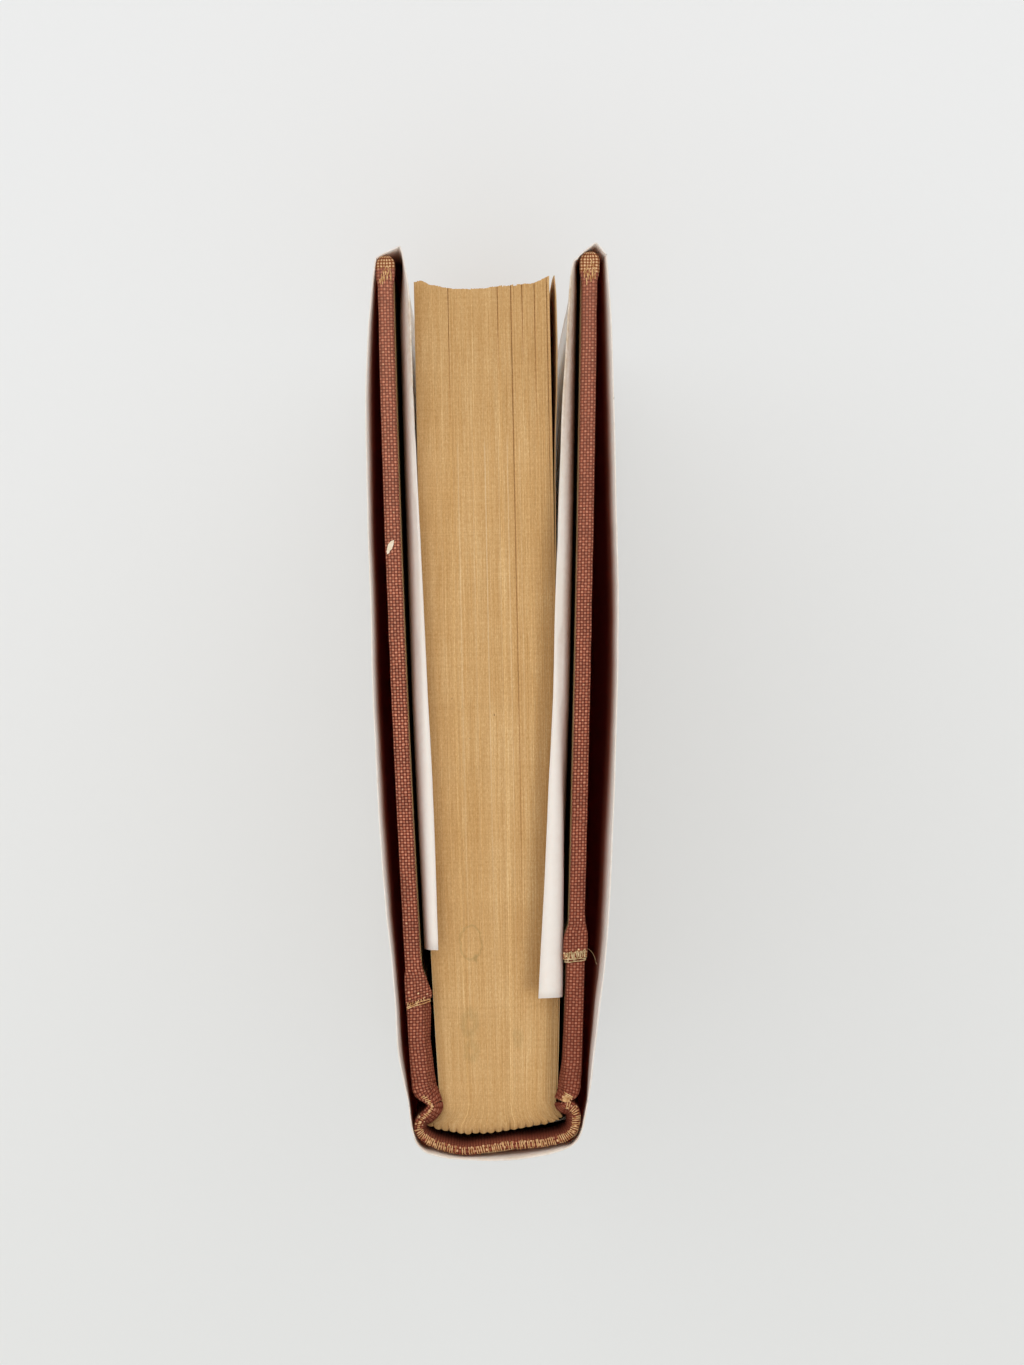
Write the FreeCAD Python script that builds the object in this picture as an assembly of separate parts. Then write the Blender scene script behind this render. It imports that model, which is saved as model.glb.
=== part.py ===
import FreeCAD, Part
import math
import os

# A used, jacketed hardback that stands on its tail with both covers a little open.
# Millimetres. +Z runs from tail to head, +Y from spine to fore edge, and +X towards
# the front cover. X = 0 is the middle plane of the pages.

# Pages
page_height = 203.0        # leaf, tail to head
page_depth = 136.7         # leaf, back fold to fore edge
tail_square = 3.2          # how far the boards stand past the pages, tail and head
block_half = 11.05         # half the thickness at the fore edge
waist_half = 9.5           # half the thickness just in front of the shoulders
taper_start_y = 10.0       # the block narrows from here towards the spine
taper_power = 2.5
waist_y = -64.4
shoulder_rise = 2.5        # how far the backed shoulders stand out past the waist
shoulder_y = -67.9
back_apex_y = -69.7        # furthest point of the rounded back
back_apex_x = -2.5         # the back has slumped a little to one side
sections = 19              # folded sections, each a small swelling along the back
section_swell = 0.32
fore_groups = 15           # groups of leaves that stepped over each other
fore_step = 0.22
fore_slit = 0.04           # share of a group's width taken by the slit on each side
fore_hollow = 1.3          # depth of the concave fore edge

# Endpapers and the gauze that hinges them
leaf_thickness = 0.15
leaf_standoff = 0.75       # the front flyleaf stands off the pages at its fore edge
leaf_lift_start_y = 18.0
leaf_lift_end_y = 47.0
gauze_thickness = 0.25
gauze_inset = 9.0          # gauze stops short of the pages' head and tail
gauze_end_inset = 0.6      # and short of the shoulders
gauze_reach = 25.0         # gauze width on each board
gauze_clear = 1.0          # between the gauze and the turned-in cloth, head and tail

# Boards
board_thickness = 1.9
board_end_y = -62.8        # the edge beside the joint
board_fore_y = 71.6        # the bare board's fore edge
board_facets = 12          # flat steps that stand for a board's slight bow

# Cloth
side_cloth = 0.3           # cloth on the board sides
spine_cloth = 0.5          # cloth over the back and onto the boards
turn_in = 15.0             # cloth turned over the board edges
edge_cloth = 0.3           # cloth over head, tail and fore edge
edge_round = 0.9           # the covered fore edge is rounded off over this depth
lap_rise = 0.2             # the side cloth lies this much higher where it laps the spine cloth
lap_width = 4.0
lap_ramp = 1.4             # the pastedown and side cloth come down over this length past the lap
lap_climb = 1.0            # and the pastedown climbs onto the lap over this one
neck_chamfer = 0.45        # where the cloth drops from the board into the groove
neck_rise = 0.2
board_ease = 0.5           # the board edge beside the joint is eased this much
pastedown_margin = 3.0
pastedown_thickness = 0.15

# Back of the case
inlay_thickness = 0.5
groove_gap = 1.4           # from the pages' waist to the middle of the cloth in the joint groove
groove_depth = 0.9         # the groove goes on this far behind the joint
spine_shoulder_gap = 1.15  # from the pages' shoulder to the middle of the cloth's shoulder
spine_shoulder_y = -66.7
spine_corner_gap = 0.4     # and to its corner
spine_corner_y = -70.3
spine_apex_x = -5.0
spine_apex_y = -73.2
back_radius = 20.0         # of the cloth and the jacket across the middle of the back
groove_radius = 1.0        # where the cloth turns out of the joint groove
corner_radius = 1.6        # where it turns onto the back

# Paper jacket
jacket_thickness = 0.2
jacket_over = 1.2          # the jacket stands this much above the boards' head
jacket_back_apex_x = -4.0
jacket_back_apex_y = -74.5
jacket_corner_gap = 1.7    # from the pages' shoulder to the jacket's corner
jacket_corner_y = -71.1
jacket_corner_radius = 2.2
curl_clearance = 0.35      # under the flap where it lies over the pages
leaf_clearance = 0.35      # beside the pages
flap_gap = 0.15            # between flap and pastedown
jacket_levels = (0.0, 0.28, 0.57, 0.71, 0.83, 0.9, 0.95)  # shares of its height
flare_start = 0.83         # the outer panel stands away from the board from this share up
flare_power = 2.0
lean_start = 0.52          # the flap leans over the pages from this share up
lean_power = 2.4
least_rise = 1.1           # height the flap's head edge keeps over the curl's start
crease_share = 0.2         # part of the outer panel that draws in to the fore-edge crease
crease_back = 0.1          # the crease lies this far behind the board's fore edge
fold_flare = 0.7           # the fold stands out this much further at the head
inner_crease_back = 0.6    # the flap's crease lies this far behind the fold

# Joints between the pages and the covers
hinge_out = 2.4            # the jacket crosses the joint this far outside the pages' shoulder
hinge_outside = 0.1        # the axis lies this far outside the jacket
hinge_y = -64.65
joint_slit = 0.1           # between the pieces on each side of the joint

# What differs between the two covers. The gaps in x are from the pages' waist at the
# spine end and from the pages' side at the fore edge.
covers = {
    "front": dict(
        side=1, end_gap=2.45, fore_gap=6.45, bow=0.3, lap_at=21.2,
        panel_gap=1.0, panel_bow=1.9, panel_peak=0.5, head_flare=1.25,
        crease_out=1.1, fold_reach=0.9, fold_skew=0.6,
        flap_fore_gap=3.35, flap_fore_y=69.1, flap_end_gap=-2.7, flap_end_y=-47.9,
        inner_crease=0.5,
    ),
    "back": dict(
        side=-1, end_gap=3.0, fore_gap=4.55, bow=0.75, lap_at=14.5,
        panel_gap=1.1, panel_bow=1.45, panel_peak=0.42, head_flare=0.6,
        crease_out=0.35, fold_reach=1.0, fold_skew=-2.4,
        flap_fore_gap=0.85, flap_fore_y=65.5, flap_end_gap=-0.3, flap_end_y=-39.8,
        inner_crease=1.4,
    ),
}

board_height = page_height + 2 * tail_square
jacket_height = board_height + jacket_over
half_board = board_thickness / 2
block_top = tail_square + page_height
cap_height = board_height - lap_rise
core_bottom = edge_cloth
core_top = cap_height - edge_cloth
fore_y = back_apex_y + page_depth
fore_edge_y = board_fore_y + edge_cloth
cut_y = hinge_y + joint_slit / 2
root_cut_y = hinge_y - joint_slit / 2
shoulder_half = waist_half + shoulder_rise
groove_half = waist_half + groove_gap
spine_shoulder_half = shoulder_half + spine_shoulder_gap
spine_corner_half = shoulder_half + spine_corner_gap
jacket_corner_half = shoulder_half + jacket_corner_gap
hinge_half = shoulder_half + hinge_out


def prism(points, bottom, top):
    """A closed outline in plan, pulled up from bottom to top."""
    corners = [FreeCAD.Vector(x, y, bottom) for x, y in points]
    corners.append(corners[0])
    return Part.Face(Part.makePolygon(corners)).extrude(FreeCAD.Vector(0, 0, top - bottom))


def normals(path):
    """Unit normals to the left of a path in plan, lengthened at its corners."""
    found = []
    last = len(path) - 1
    for i in range(len(path)):
        ax, ay = path[max(i - 1, 0)]
        bx, by = path[i]
        cx, cy = path[min(i + 1, last)]
        before = math.atan2(by - ay, bx - ax) if i > 0 else math.atan2(cy - by, cx - bx)
        after = math.atan2(cy - by, cx - bx) if i < last else before
        turn = math.remainder(after - before, 2 * math.pi)
        middle = before + turn / 2 + math.pi / 2
        reach = 1 / max(math.cos(turn / 2), 0.5)
        found.append((math.cos(middle) * reach, math.sin(middle) * reach))
    return found


def shifted(path, distance):
    """The path moved sideways, to its left where distance is above 0."""
    return [(x + nx * distance, y + ny * distance)
            for (x, y), (nx, ny) in zip(path, normals(path))]


def band(path, low, high):
    """The outline of a sheet between two sideways distances from a path."""
    return shifted(path, high) + shifted(path, low)[::-1]


def rounded(corners, radii, steps=5):
    """A path of straight runs joined by tangent arcs, one radius for each inner corner."""
    path = [corners[0]]
    for before, corner, after, radius in zip(corners, corners[1:], corners[2:], radii):
        in_angle = math.atan2(corner[1] - before[1], corner[0] - before[0])
        out_angle = math.atan2(after[1] - corner[1], after[0] - corner[0])
        turn = math.remainder(out_angle - in_angle, 2 * math.pi)
        back = radius * math.tan(abs(turn) / 2)
        start_x = corner[0] - back * math.cos(in_angle)
        start_y = corner[1] - back * math.sin(in_angle)
        hand = math.copysign(1, turn)
        centre_x = start_x - hand * radius * math.sin(in_angle)
        centre_y = start_y + hand * radius * math.cos(in_angle)
        for i in range(steps + 1):
            angle = in_angle + turn * i / steps
            path.append((centre_x + hand * radius * math.sin(angle),
                         centre_y - hand * radius * math.cos(angle)))
    path.append(corners[-1])
    return path


def smooth(value):
    value = min(max(value, 0.0), 1.0)
    return value * value * (3 - 2 * value)


def page_half(y):
    """Half the thickness of the closed pages with their flyleaves."""
    share = (taper_start_y - y) / (taper_start_y - waist_y)
    share = min(max(share, 0.0), 1.0)
    return block_half - (block_half - waist_half) * share ** taper_power


def leaf_lift(y):
    lift = (y - leaf_lift_start_y) / (leaf_lift_end_y - leaf_lift_start_y)
    return leaf_standoff * smooth(lift)


def back_y(x):
    """The rounded back of the pages, without its swellings."""
    span = shoulder_half + back_apex_x if x < back_apex_x else shoulder_half - back_apex_x
    return back_apex_y + (shoulder_y - back_apex_y) * ((x - back_apex_x) / span) ** 2


def page_side(side, inset=0.0, steps=12):
    """One flank of the pages in plan, from the fore edge to the waist."""
    top_y = fore_y + fore_hollow
    path = []
    for i in range(steps + 1):
        y = top_y + (waist_y - top_y) * i / steps
        path.append((side * (page_half(y) - inset), y))
    return path


def shoulder_curve(side, steps=5):
    """From the waist out to the backed shoulder."""
    path = []
    for i in range(1, steps + 1):
        angle = math.pi / 2 * i / steps
        x = waist_half + (shoulder_half - waist_half) * (1 - math.cos(angle))
        path.append((side * x, waist_y + (shoulder_y - waist_y) * math.sin(angle)))
    return path


def fore_profile():
    """The hollow fore edge, with its groups of leaves stepped over each other."""
    half = block_half - leaf_thickness
    path = []
    for i in range(fore_groups):
        offset = fore_step * math.sin(2.4 * i + 0.8)
        for share in (fore_slit, 1 - fore_slit):
            x = -half + 2 * half * (i + share) / fore_groups
            path.append((x, fore_y + fore_hollow * (x / half) ** 2 + offset))
    return path


def text_block():
    """The pages: one solid with a hollow fore edge and a rounded, sewn back."""
    left = page_side(-1, leaf_thickness) + shoulder_curve(-1)
    right = page_side(1, leaf_thickness) + shoulder_curve(1)
    around = left[::-1] + fore_profile() + right
    points = [FreeCAD.Vector(x, y, tail_square) for x, y in around]
    edges = [Part.LineSegment(a, b).toShape() for a, b in zip(points, points[1:])]
    pitch = 2 * shoulder_half / sections
    for i in range(sections):
        x0 = shoulder_half - pitch * i
        x1 = x0 - pitch
        middle = (x0 + x1) / 2
        start = FreeCAD.Vector(x0, back_y(x0), tail_square)
        crown = FreeCAD.Vector(middle, back_y(middle) - section_swell, tail_square)
        end = FreeCAD.Vector(x1, back_y(x1), tail_square)
        edges.append(Part.Arc(start, crown, end).toShape())
    outline = Part.Wire(Part.__sortEdges__(edges))
    return Part.Face(outline).extrude(FreeCAD.Vector(0, 0, page_height))


def flyleaf(side, lifted):
    """A free endpaper. The front one stands off the pages at its fore edge."""
    inner = page_side(side, leaf_thickness, 24)
    if lifted:
        inner = [(x + side * leaf_lift(y), y) for x, y in inner]
    outer = [(x + side * leaf_thickness, y) for x, y in inner]
    return prism(inner + outer[::-1], tail_square, block_top)


def gauze_on_back(pages):
    """The gauze and paper glued over the sewn back, shoulder to shoulder."""
    steps = 24
    half = shoulder_half - gauze_end_inset
    path = []
    for i in range(steps + 1):
        x = -half + 2 * half * i / steps
        path.append((x, back_y(x) - section_swell))
    outline = band(path, -gauze_thickness, section_swell)
    filled = prism(outline, tail_square + gauze_inset, block_top - gauze_inset)
    return max(filled.cut(pages).Solids, key=lambda solid: solid.Volume)


def case_back_path():
    """The middle of the spine cloth, from one joint groove to the other."""
    corners = [
        (-groove_half, root_cut_y),
        (-groove_half, root_cut_y - groove_depth),
        (-spine_shoulder_half, spine_shoulder_y),
        (-spine_corner_half, spine_corner_y),
        (spine_apex_x, spine_apex_y),
        (spine_corner_half, spine_corner_y),
        (spine_shoulder_half, spine_shoulder_y),
        (groove_half, root_cut_y - groove_depth),
        (groove_half, root_cut_y),
    ]
    return rounded(corners, (groove_radius, groove_radius, corner_radius, back_radius,
                             corner_radius, groove_radius, groove_radius))


def case_back():
    """The cloth over the back, turned in at head and tail over a card inlay."""
    path = case_back_path()
    half = inlay_thickness / 2
    outer = band(path, -half - spine_cloth, -half)
    full = band(path, -half - spine_cloth, half + spine_cloth)
    cloth = prism(outer, 0, cap_height)
    cloth = cloth.fuse(prism(full, 0, turn_in))
    cloth = cloth.fuse(prism(full, cap_height - turn_in, cap_height))
    inlay_path = path[8:-8]
    inlay = prism(band(inlay_path, -half, half), core_bottom, core_top)
    return cloth.cut(inlay).removeSplitter(), inlay


def jacket_back_path():
    corners = [
        (-hinge_half, root_cut_y),
        (-jacket_corner_half, jacket_corner_y),
        (jacket_back_apex_x, jacket_back_apex_y),
        (jacket_corner_half, jacket_corner_y),
        (hinge_half, root_cut_y),
    ]
    return rounded(corners, (jacket_corner_radius, back_radius, jacket_corner_radius))


def board_middle(cover, y):
    """Distance of a board's middle plane from X = 0, with the board's slight bow."""
    place = (y - board_end_y) / (board_fore_y - board_end_y) * board_facets
    first = min(max(math.floor(place), 0), board_facets - 1)
    ends = []
    for share in (first / board_facets, (first + 1) / board_facets):
        end_x = waist_half + cover["end_gap"]
        straight = end_x + (block_half + cover["fore_gap"] - end_x) * share
        ends.append(straight + cover["bow"] * 4 * share * (1 - share))
    return ends[0] + (ends[1] - ends[0]) * (place - first)


def board_line(cover, offset, start_y, end_y):
    """A line along a board, at a distance outwards from its middle plane."""
    facet = (board_fore_y - board_end_y) / board_facets
    between = [board_end_y + facet * i for i in range(board_facets + 1)]
    stops = [start_y] + [y for y in between if start_y + 0.01 < y < end_y - 0.01] + [end_y]
    return [(cover["side"] * (board_middle(cover, y) + offset), y) for y in stops]


def board_slab(cover, low, high, start_y, end_y, bottom, top):
    outline = board_line(cover, high, start_y, end_y) + board_line(cover, low, start_y, end_y)[::-1]
    return prism(outline, bottom, top)


def lap_y(cover):
    """Where the side cloth starts, on top of the spine cloth."""
    return board_end_y + cover["lap_at"]


def joint_cloth(cover, core):
    """The spine cloth where it lies on the board, over its edge and into the groove."""
    side = cover["side"]
    end_y = lap_y(cover) + lap_width
    outside = board_line(cover, half_board + spine_cloth, board_end_y + board_ease, end_y)
    inside = board_line(cover, -half_board - spine_cloth, board_end_y, end_y)
    corner = board_middle(cover, board_end_y) + half_board + spine_cloth
    groove_out = groove_half + spine_cloth + inlay_thickness / 2
    groove_in = groove_half - spine_cloth - inlay_thickness / 2
    neck = [
        (side * groove_out, cut_y),
        (side * (groove_out + neck_rise), cut_y + neck_chamfer),
        (side * (corner - board_ease), board_end_y - neck_chamfer),
    ]
    skin_x = side * (groove_out - spine_cloth)
    skin_in = [(skin_x, board_end_y), (skin_x, cut_y)]
    core_out = board_line(cover, half_board, board_end_y, end_y)
    skin = prism(neck + outside + core_out[::-1] + skin_in, 0, cap_height)
    whole = neck + outside + inside[::-1] + [(side * groove_in, cut_y)]
    ends = prism(whole, 0, turn_in).fuse(prism(whole, cap_height - turn_in, cap_height))
    return skin.fuse(ends).cut(core).removeSplitter()


def side_cloth_piece(cover, core, joint):
    """The cloth on the board's side, turned in at head, tail and fore edge."""
    side = cover["side"]
    start_y = lap_y(cover)
    lap_end_y = start_y + lap_width
    raised = half_board + spine_cloth + side_cloth
    flat = half_board + side_cloth
    tip_y = fore_edge_y - edge_round
    outer = board_line(cover, raised, start_y, lap_end_y)
    outer += board_line(cover, flat, lap_end_y + lap_ramp, tip_y)
    inner = board_line(cover, -raised, start_y, lap_end_y)
    inner += board_line(cover, -flat, lap_end_y + lap_ramp, tip_y)
    tip = []
    steps = 6
    middle = side * board_middle(cover, fore_edge_y)
    for i in range(1, steps):
        angle = math.pi * i / steps
        tip.append((middle + side * flat * math.cos(angle), tip_y + edge_round * math.sin(angle)))
    envelope = prism(outer + tip + inner[::-1], 0, board_height)
    window = board_slab(cover, -raised - side_cloth, -half_board, start_y - lap_climb,
                        board_fore_y - turn_in, turn_in, cap_height - turn_in)
    return envelope.cut(core).cut(joint).cut(window).removeSplitter()


def gauze_on_board(cover, joint):
    gauze = board_slab(cover, -half_board - gauze_thickness, -half_board, cut_y,
                       board_end_y + gauze_reach, turn_in + gauze_clear,
                       cap_height - turn_in - gauze_clear)
    return gauze.cut(joint)


def pastedown(cover, covered):
    """The endpaper pasted on the board, level with the turned-in cloth and over it."""
    sheet_in = half_board + spine_cloth + pastedown_thickness
    flat_in = half_board + side_cloth + pastedown_thickness
    lap_end_y = lap_y(cover) + lap_width
    end_y = fore_edge_y - pastedown_margin
    inner = board_line(cover, -sheet_in, cut_y, lap_y(cover) - lap_climb)
    inner += board_line(cover, -sheet_in - side_cloth, lap_y(cover), lap_end_y)
    inner += board_line(cover, -flat_in, lap_end_y + lap_ramp, end_y)
    outer = board_line(cover, -half_board, cut_y, end_y)
    sheet = prism(inner + outer[::-1], pastedown_margin, cap_height - pastedown_margin)
    for piece in covered:
        sheet = sheet.cut(piece)
    return max(sheet.Solids, key=lambda solid: solid.Volume)


def sheet_solid(rows, thickness):
    """A thin sheet about a grid of points: the same count of points in every row."""
    count_w = len(rows)
    count_s = len(rows[0])
    low, high = [], []
    for i in range(count_w):
        low.append([])
        high.append([])
        for j in range(count_s):
            along = rows[i][min(j + 1, count_s - 1)] - rows[i][max(j - 1, 0)]
            up = rows[min(i + 1, count_w - 1)][j] - rows[max(i - 1, 0)][j]
            level = i in (0, count_w - 1)
            normal = along.cross(up)
            if level:
                normal.z = 0
            normal.normalize()
            low[i].append(rows[i][j] - normal * (thickness / 2))
            high[i].append(rows[i][j] + normal * (thickness / 2))
    faces = []

    def quad(a, b, c, d):
        faces.append(Part.Face(Part.makePolygon([a, b, c, a])))
        faces.append(Part.Face(Part.makePolygon([a, c, d, a])))

    for i in range(count_w - 1):
        for j in range(count_s - 1):
            quad(high[i][j], high[i][j + 1], high[i + 1][j + 1], high[i + 1][j])
            quad(low[i][j], low[i + 1][j], low[i + 1][j + 1], low[i][j + 1])
        quad(low[i][0], high[i][0], high[i + 1][0], low[i + 1][0])
        quad(high[i][-1], low[i][-1], low[i + 1][-1], high[i + 1][-1])
    for j in range(count_s - 1):
        quad(low[0][j], low[0][j + 1], high[0][j + 1], high[0][j])
        quad(high[-1][j], high[-1][j + 1], low[-1][j + 1], low[-1][j])
    shell = Part.Shell(faces)
    shell.sewShape()
    solid = Part.Solid(Part.Shell(shell.Faces))
    if solid.Volume < 0:
        solid.reverse()
    return solid


def jacket_stations(cover):
    """Pairs of plan points along the jacket: low on the board, and at the head edge."""
    side = cover["side"]
    outside = half_board + side_cloth
    stations = []
    panel_steps = 8
    crease_y = fore_edge_y - crease_back
    for i in range(panel_steps + 1):
        share = i / panel_steps
        y = cut_y + (crease_y - cut_y) * share
        hump = math.sin(math.pi * share ** (math.log(0.5) / math.log(cover["panel_peak"])))
        crease = board_middle(cover, crease_y) + outside + cover["crease_out"]
        start = hinge_half
        if i == 0:
            low = start
        else:
            near = board_middle(cover, y) + outside + cover["panel_gap"]
            near = near + (crease - near) * smooth((share - 1 + crease_share) / crease_share)
            low = near + cover["panel_bow"] * hump
        high = low + cover["head_flare"] * hump ** 0.5 if i else low
        stations.append(((side * low, y), (side * high, y)))
    middle = board_middle(cover, fore_edge_y)
    fold_y = fore_edge_y + cover["fold_reach"]
    skew = cover["fold_skew"]
    inner_x = middle - outside - cover["inner_crease"]
    inner_y = fold_y - inner_crease_back
    stations.append(((side * (middle + skew), fold_y), (side * (middle + skew), fold_y + fold_flare)))
    stations.append(((side * inner_x, inner_y), (side * inner_x, inner_y + fold_flare / 2)))
    for y in flap_stops(cover):
        share = (y - cover["flap_fore_y"]) / (cover["flap_end_y"] - cover["flap_fore_y"])
        low = flap_rest(cover, y)
        end_x = waist_half + cover["flap_end_gap"]
        high = end_x + (block_half + cover["flap_fore_gap"] - end_x) * (1 - share)
        stations.append(((side * low, y), (side * high, y)))
    return stations, panel_steps + 3


def inner_cloth(cover, y):
    """Thickness of the turned-in cloth under the pastedown."""
    lap_end_y = lap_y(cover) + lap_width
    if y > lap_end_y + lap_ramp - 0.01:
        return side_cloth
    if y > lap_end_y + 0.01 or y < lap_y(cover) - lap_climb - 0.01:
        return spine_cloth
    return side_cloth + spine_cloth


def flap_rest(cover, y):
    """Where the flap lies, beside the pastedown."""
    gap = pastedown_thickness + flap_gap + jacket_thickness / 2
    return board_middle(cover, y) - half_board - inner_cloth(cover, y) - gap


def flap_stops(cover):
    """Places along the flap, with those where the cloth under it steps."""
    stops = [cover["flap_fore_y"] + (cover["flap_end_y"] - cover["flap_fore_y"]) * i / 9
             for i in range(10)]
    lap_end_y = lap_y(cover) + lap_width
    steps = [lap_y(cover) - 1.5 * lap_climb, lap_y(cover) - 0.5 * lap_climb, lap_end_y,
             lap_end_y + 1.2 * lap_ramp]
    ends = (stops[0], stops[-1])
    stops = [y for y in stops if y in ends or min(abs(y - step) for step in steps) > 2.0]
    stops += [y for y in steps if cover["flap_end_y"] + 1.0 < y < cover["flap_fore_y"]]
    return sorted(stops, reverse=True)


def page_limit(cover, y):
    """How near the middle plane the jacket may come beside the pages."""
    lift = leaf_lift(y) if cover["side"] > 0 else 0.0
    return page_half(y) + lift + leaf_clearance + jacket_thickness / 2


def jacket_cover(cover):
    """The jacket on one board: outer panel, fold round the fore edge, and flap."""
    side = cover["side"]
    stations, flap_start = jacket_stations(cover)
    curl_z = block_top + curl_clearance
    rows = []
    levels = [jacket_height * share for share in jacket_levels] + [curl_z, jacket_height]
    for level in levels:
        row = []
        for j, (low, high) in enumerate(stations):
            on_flap = j >= flap_start
            start = jacket_height * (lean_start if on_flap else flare_start)
            share = max((level - start) / (jacket_height - start), 0.0)
            share = share ** (lean_power if on_flap else flare_power)
            x = low[0] + (high[0] - low[0]) * share
            y = low[1] + (high[1] - low[1]) * share
            z = level
            if on_flap:
                limit = page_limit(cover, y)
                if level < jacket_height:
                    x = side * max(abs(x), limit)
                elif abs(x) < limit:
                    below = rows[-1][j]
                    across = abs(below.x) - abs(x)
                    rise = max((jacket_height - curl_z) ** 2 - across ** 2, least_rise ** 2)
                    z = curl_z + math.sqrt(rise)
            row.append(FreeCAD.Vector(x, y, z))
        rows.append(row)
    return sheet_solid(rows, jacket_thickness)


def build():
    os.makedirs("parts", exist_ok=True)
    pieces = {}
    pages = text_block()
    pieces["text_block"] = pages
    pieces["front_flyleaf"] = flyleaf(1, True)
    pieces["back_flyleaf"] = flyleaf(-1, False)
    pieces["spine_gauze"] = gauze_on_back(pages)
    pieces["spine_cloth"], pieces["spine_inlay"] = case_back()
    half = jacket_thickness / 2
    pieces["jacket_spine"] = prism(band(jacket_back_path(), -half, half), 0, jacket_height)
    for name, cover in covers.items():
        core = board_slab(cover, -half_board, half_board, board_end_y, board_fore_y,
                          core_bottom, core_top)
        joint = joint_cloth(cover, core)
        side = side_cloth_piece(cover, core, joint)
        gauze = gauze_on_board(cover, joint)
        pieces[name + "_board"] = core
        pieces[name + "_joint_cloth"] = joint
        pieces[name + "_side_cloth"] = side
        pieces[name + "_gauze"] = gauze
        pieces[name + "_pastedown"] = pastedown(cover, (core, joint, side, gauze))
        pieces[name + "_jacket"] = jacket_cover(cover)
    for name, shape in pieces.items():
        shape.exportStep("parts/" + name + ".step")
        box = shape.BoundBox
        print(name, "solids", len(shape.Solids), "valid", shape.isValid(),
              "volume", round(shape.Volume, 1), "faces", len(shape.Faces),
              "x", round(box.XMin, 2), round(box.XMax, 2),
              "y", round(box.YMin, 2), round(box.YMax, 2),
              "z", round(box.ZMin, 2), round(box.ZMax, 2))
    axis_x = hinge_half + jacket_thickness / 2 + hinge_outside
    print("cover joints' axes at x", round(axis_x, 3), "on each side, y", hinge_y)


build()
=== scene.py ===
import math
import random

import bpy
import bmesh
from mathutils import Matrix, Vector, noise


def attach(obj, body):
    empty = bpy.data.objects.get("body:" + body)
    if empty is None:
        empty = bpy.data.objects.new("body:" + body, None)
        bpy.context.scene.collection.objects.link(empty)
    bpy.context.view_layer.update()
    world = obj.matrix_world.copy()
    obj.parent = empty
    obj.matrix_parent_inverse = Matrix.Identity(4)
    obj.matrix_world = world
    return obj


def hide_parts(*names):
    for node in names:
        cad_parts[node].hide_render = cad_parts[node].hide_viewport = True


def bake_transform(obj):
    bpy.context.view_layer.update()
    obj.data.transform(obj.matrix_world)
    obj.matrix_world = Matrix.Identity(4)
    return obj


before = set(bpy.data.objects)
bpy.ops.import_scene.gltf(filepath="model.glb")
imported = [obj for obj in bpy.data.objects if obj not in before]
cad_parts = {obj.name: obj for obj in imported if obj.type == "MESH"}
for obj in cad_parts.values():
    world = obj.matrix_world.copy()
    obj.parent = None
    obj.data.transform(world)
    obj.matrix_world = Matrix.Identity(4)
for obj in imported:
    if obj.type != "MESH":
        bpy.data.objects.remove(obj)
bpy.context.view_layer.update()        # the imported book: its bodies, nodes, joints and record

# A used cloth-bound hardback in a plain paper jacket, standing on its tail.
# Lengths in this script are millimetres and are turned to metres as a mesh is written.

scene = bpy.context.scene
scene.view_settings.view_transform = "Standard"

book = {
    "boardHead": 209.4,      # top of the covered boards
    "capHead": 209.2,        # top of the cloth over the spine
    "pagesTail": 3.2,
    "pagesHead": 206.2,
    "jacketHead": 210.6,
    "boardEndY": -62.8,      # the boards' edge beside the joint
    "boardForeY": 71.9,      # the covered boards' fore edge
    "jointStartY": -64.78,   # the joint bends between these two
    "jointEndY": -64.5,
}

covers = {
    "front": {
        "side": 1, "body": "front_cover",
        "endX": 11.95, "foreX": 17.5, "bow": 0.3,      # middle of the board
        "lapY": -41.6,                                 # where the side cloth begins
    },
    "back": {
        "side": -1, "body": "back_cover",
        "endX": 12.5, "foreX": 15.6, "bow": 0.75,
        "lapY": -48.3,
    },
}


# curves and numbers

def clamp(value, low=0.0, high=1.0):
    return min(max(value, low), high)


def ease(value):
    value = clamp(value)
    return value * value * (3 - 2 * value)


def mix(a, b, share):
    return a + (b - a) * share


def alongPoints(points, share):
    # a point at this share of a smooth line through the given ones
    place = clamp(share) * (len(points) - 1)
    i = min(int(place), len(points) - 2)
    t = place - i
    p0, p1 = points[max(i - 1, 0)], points[i]
    p2, p3 = points[i + 1], points[min(i + 2, len(points) - 1)]
    return tuple(0.5 * (2 * b + (c - a) * t + (2 * a - 5 * b + 4 * c - d) * t * t
                        + (3 * b - a - 3 * c + d) * t * t * t)
                 for a, b, c, d in zip(p0, p1, p2, p3))


def between(pairs, x):
    # straight-line reading of a short table of (x, value)
    if x <= pairs[0][0]:
        return pairs[0][1]
    for (x0, y0), (x1, y1) in zip(pairs, pairs[1:]):
        if x <= x1:
            return mix(y0, y1, (x - x0) / (x1 - x0))
    return pairs[-1][1]


def sideways(a, b):
    # a unit step to the left of the way from a to b
    dx, dy = b[0] - a[0], b[1] - a[1]
    size = math.hypot(dx, dy)
    return -dy / size, dx / size


def boardMiddle(cover, y):
    share = (y - book["boardEndY"]) / (book["boardForeY"] - 0.3 - book["boardEndY"])
    return mix(cover["endX"], cover["foreX"], share) + cover["bow"] * 4 * share * (1 - share)


# meshes

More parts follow.
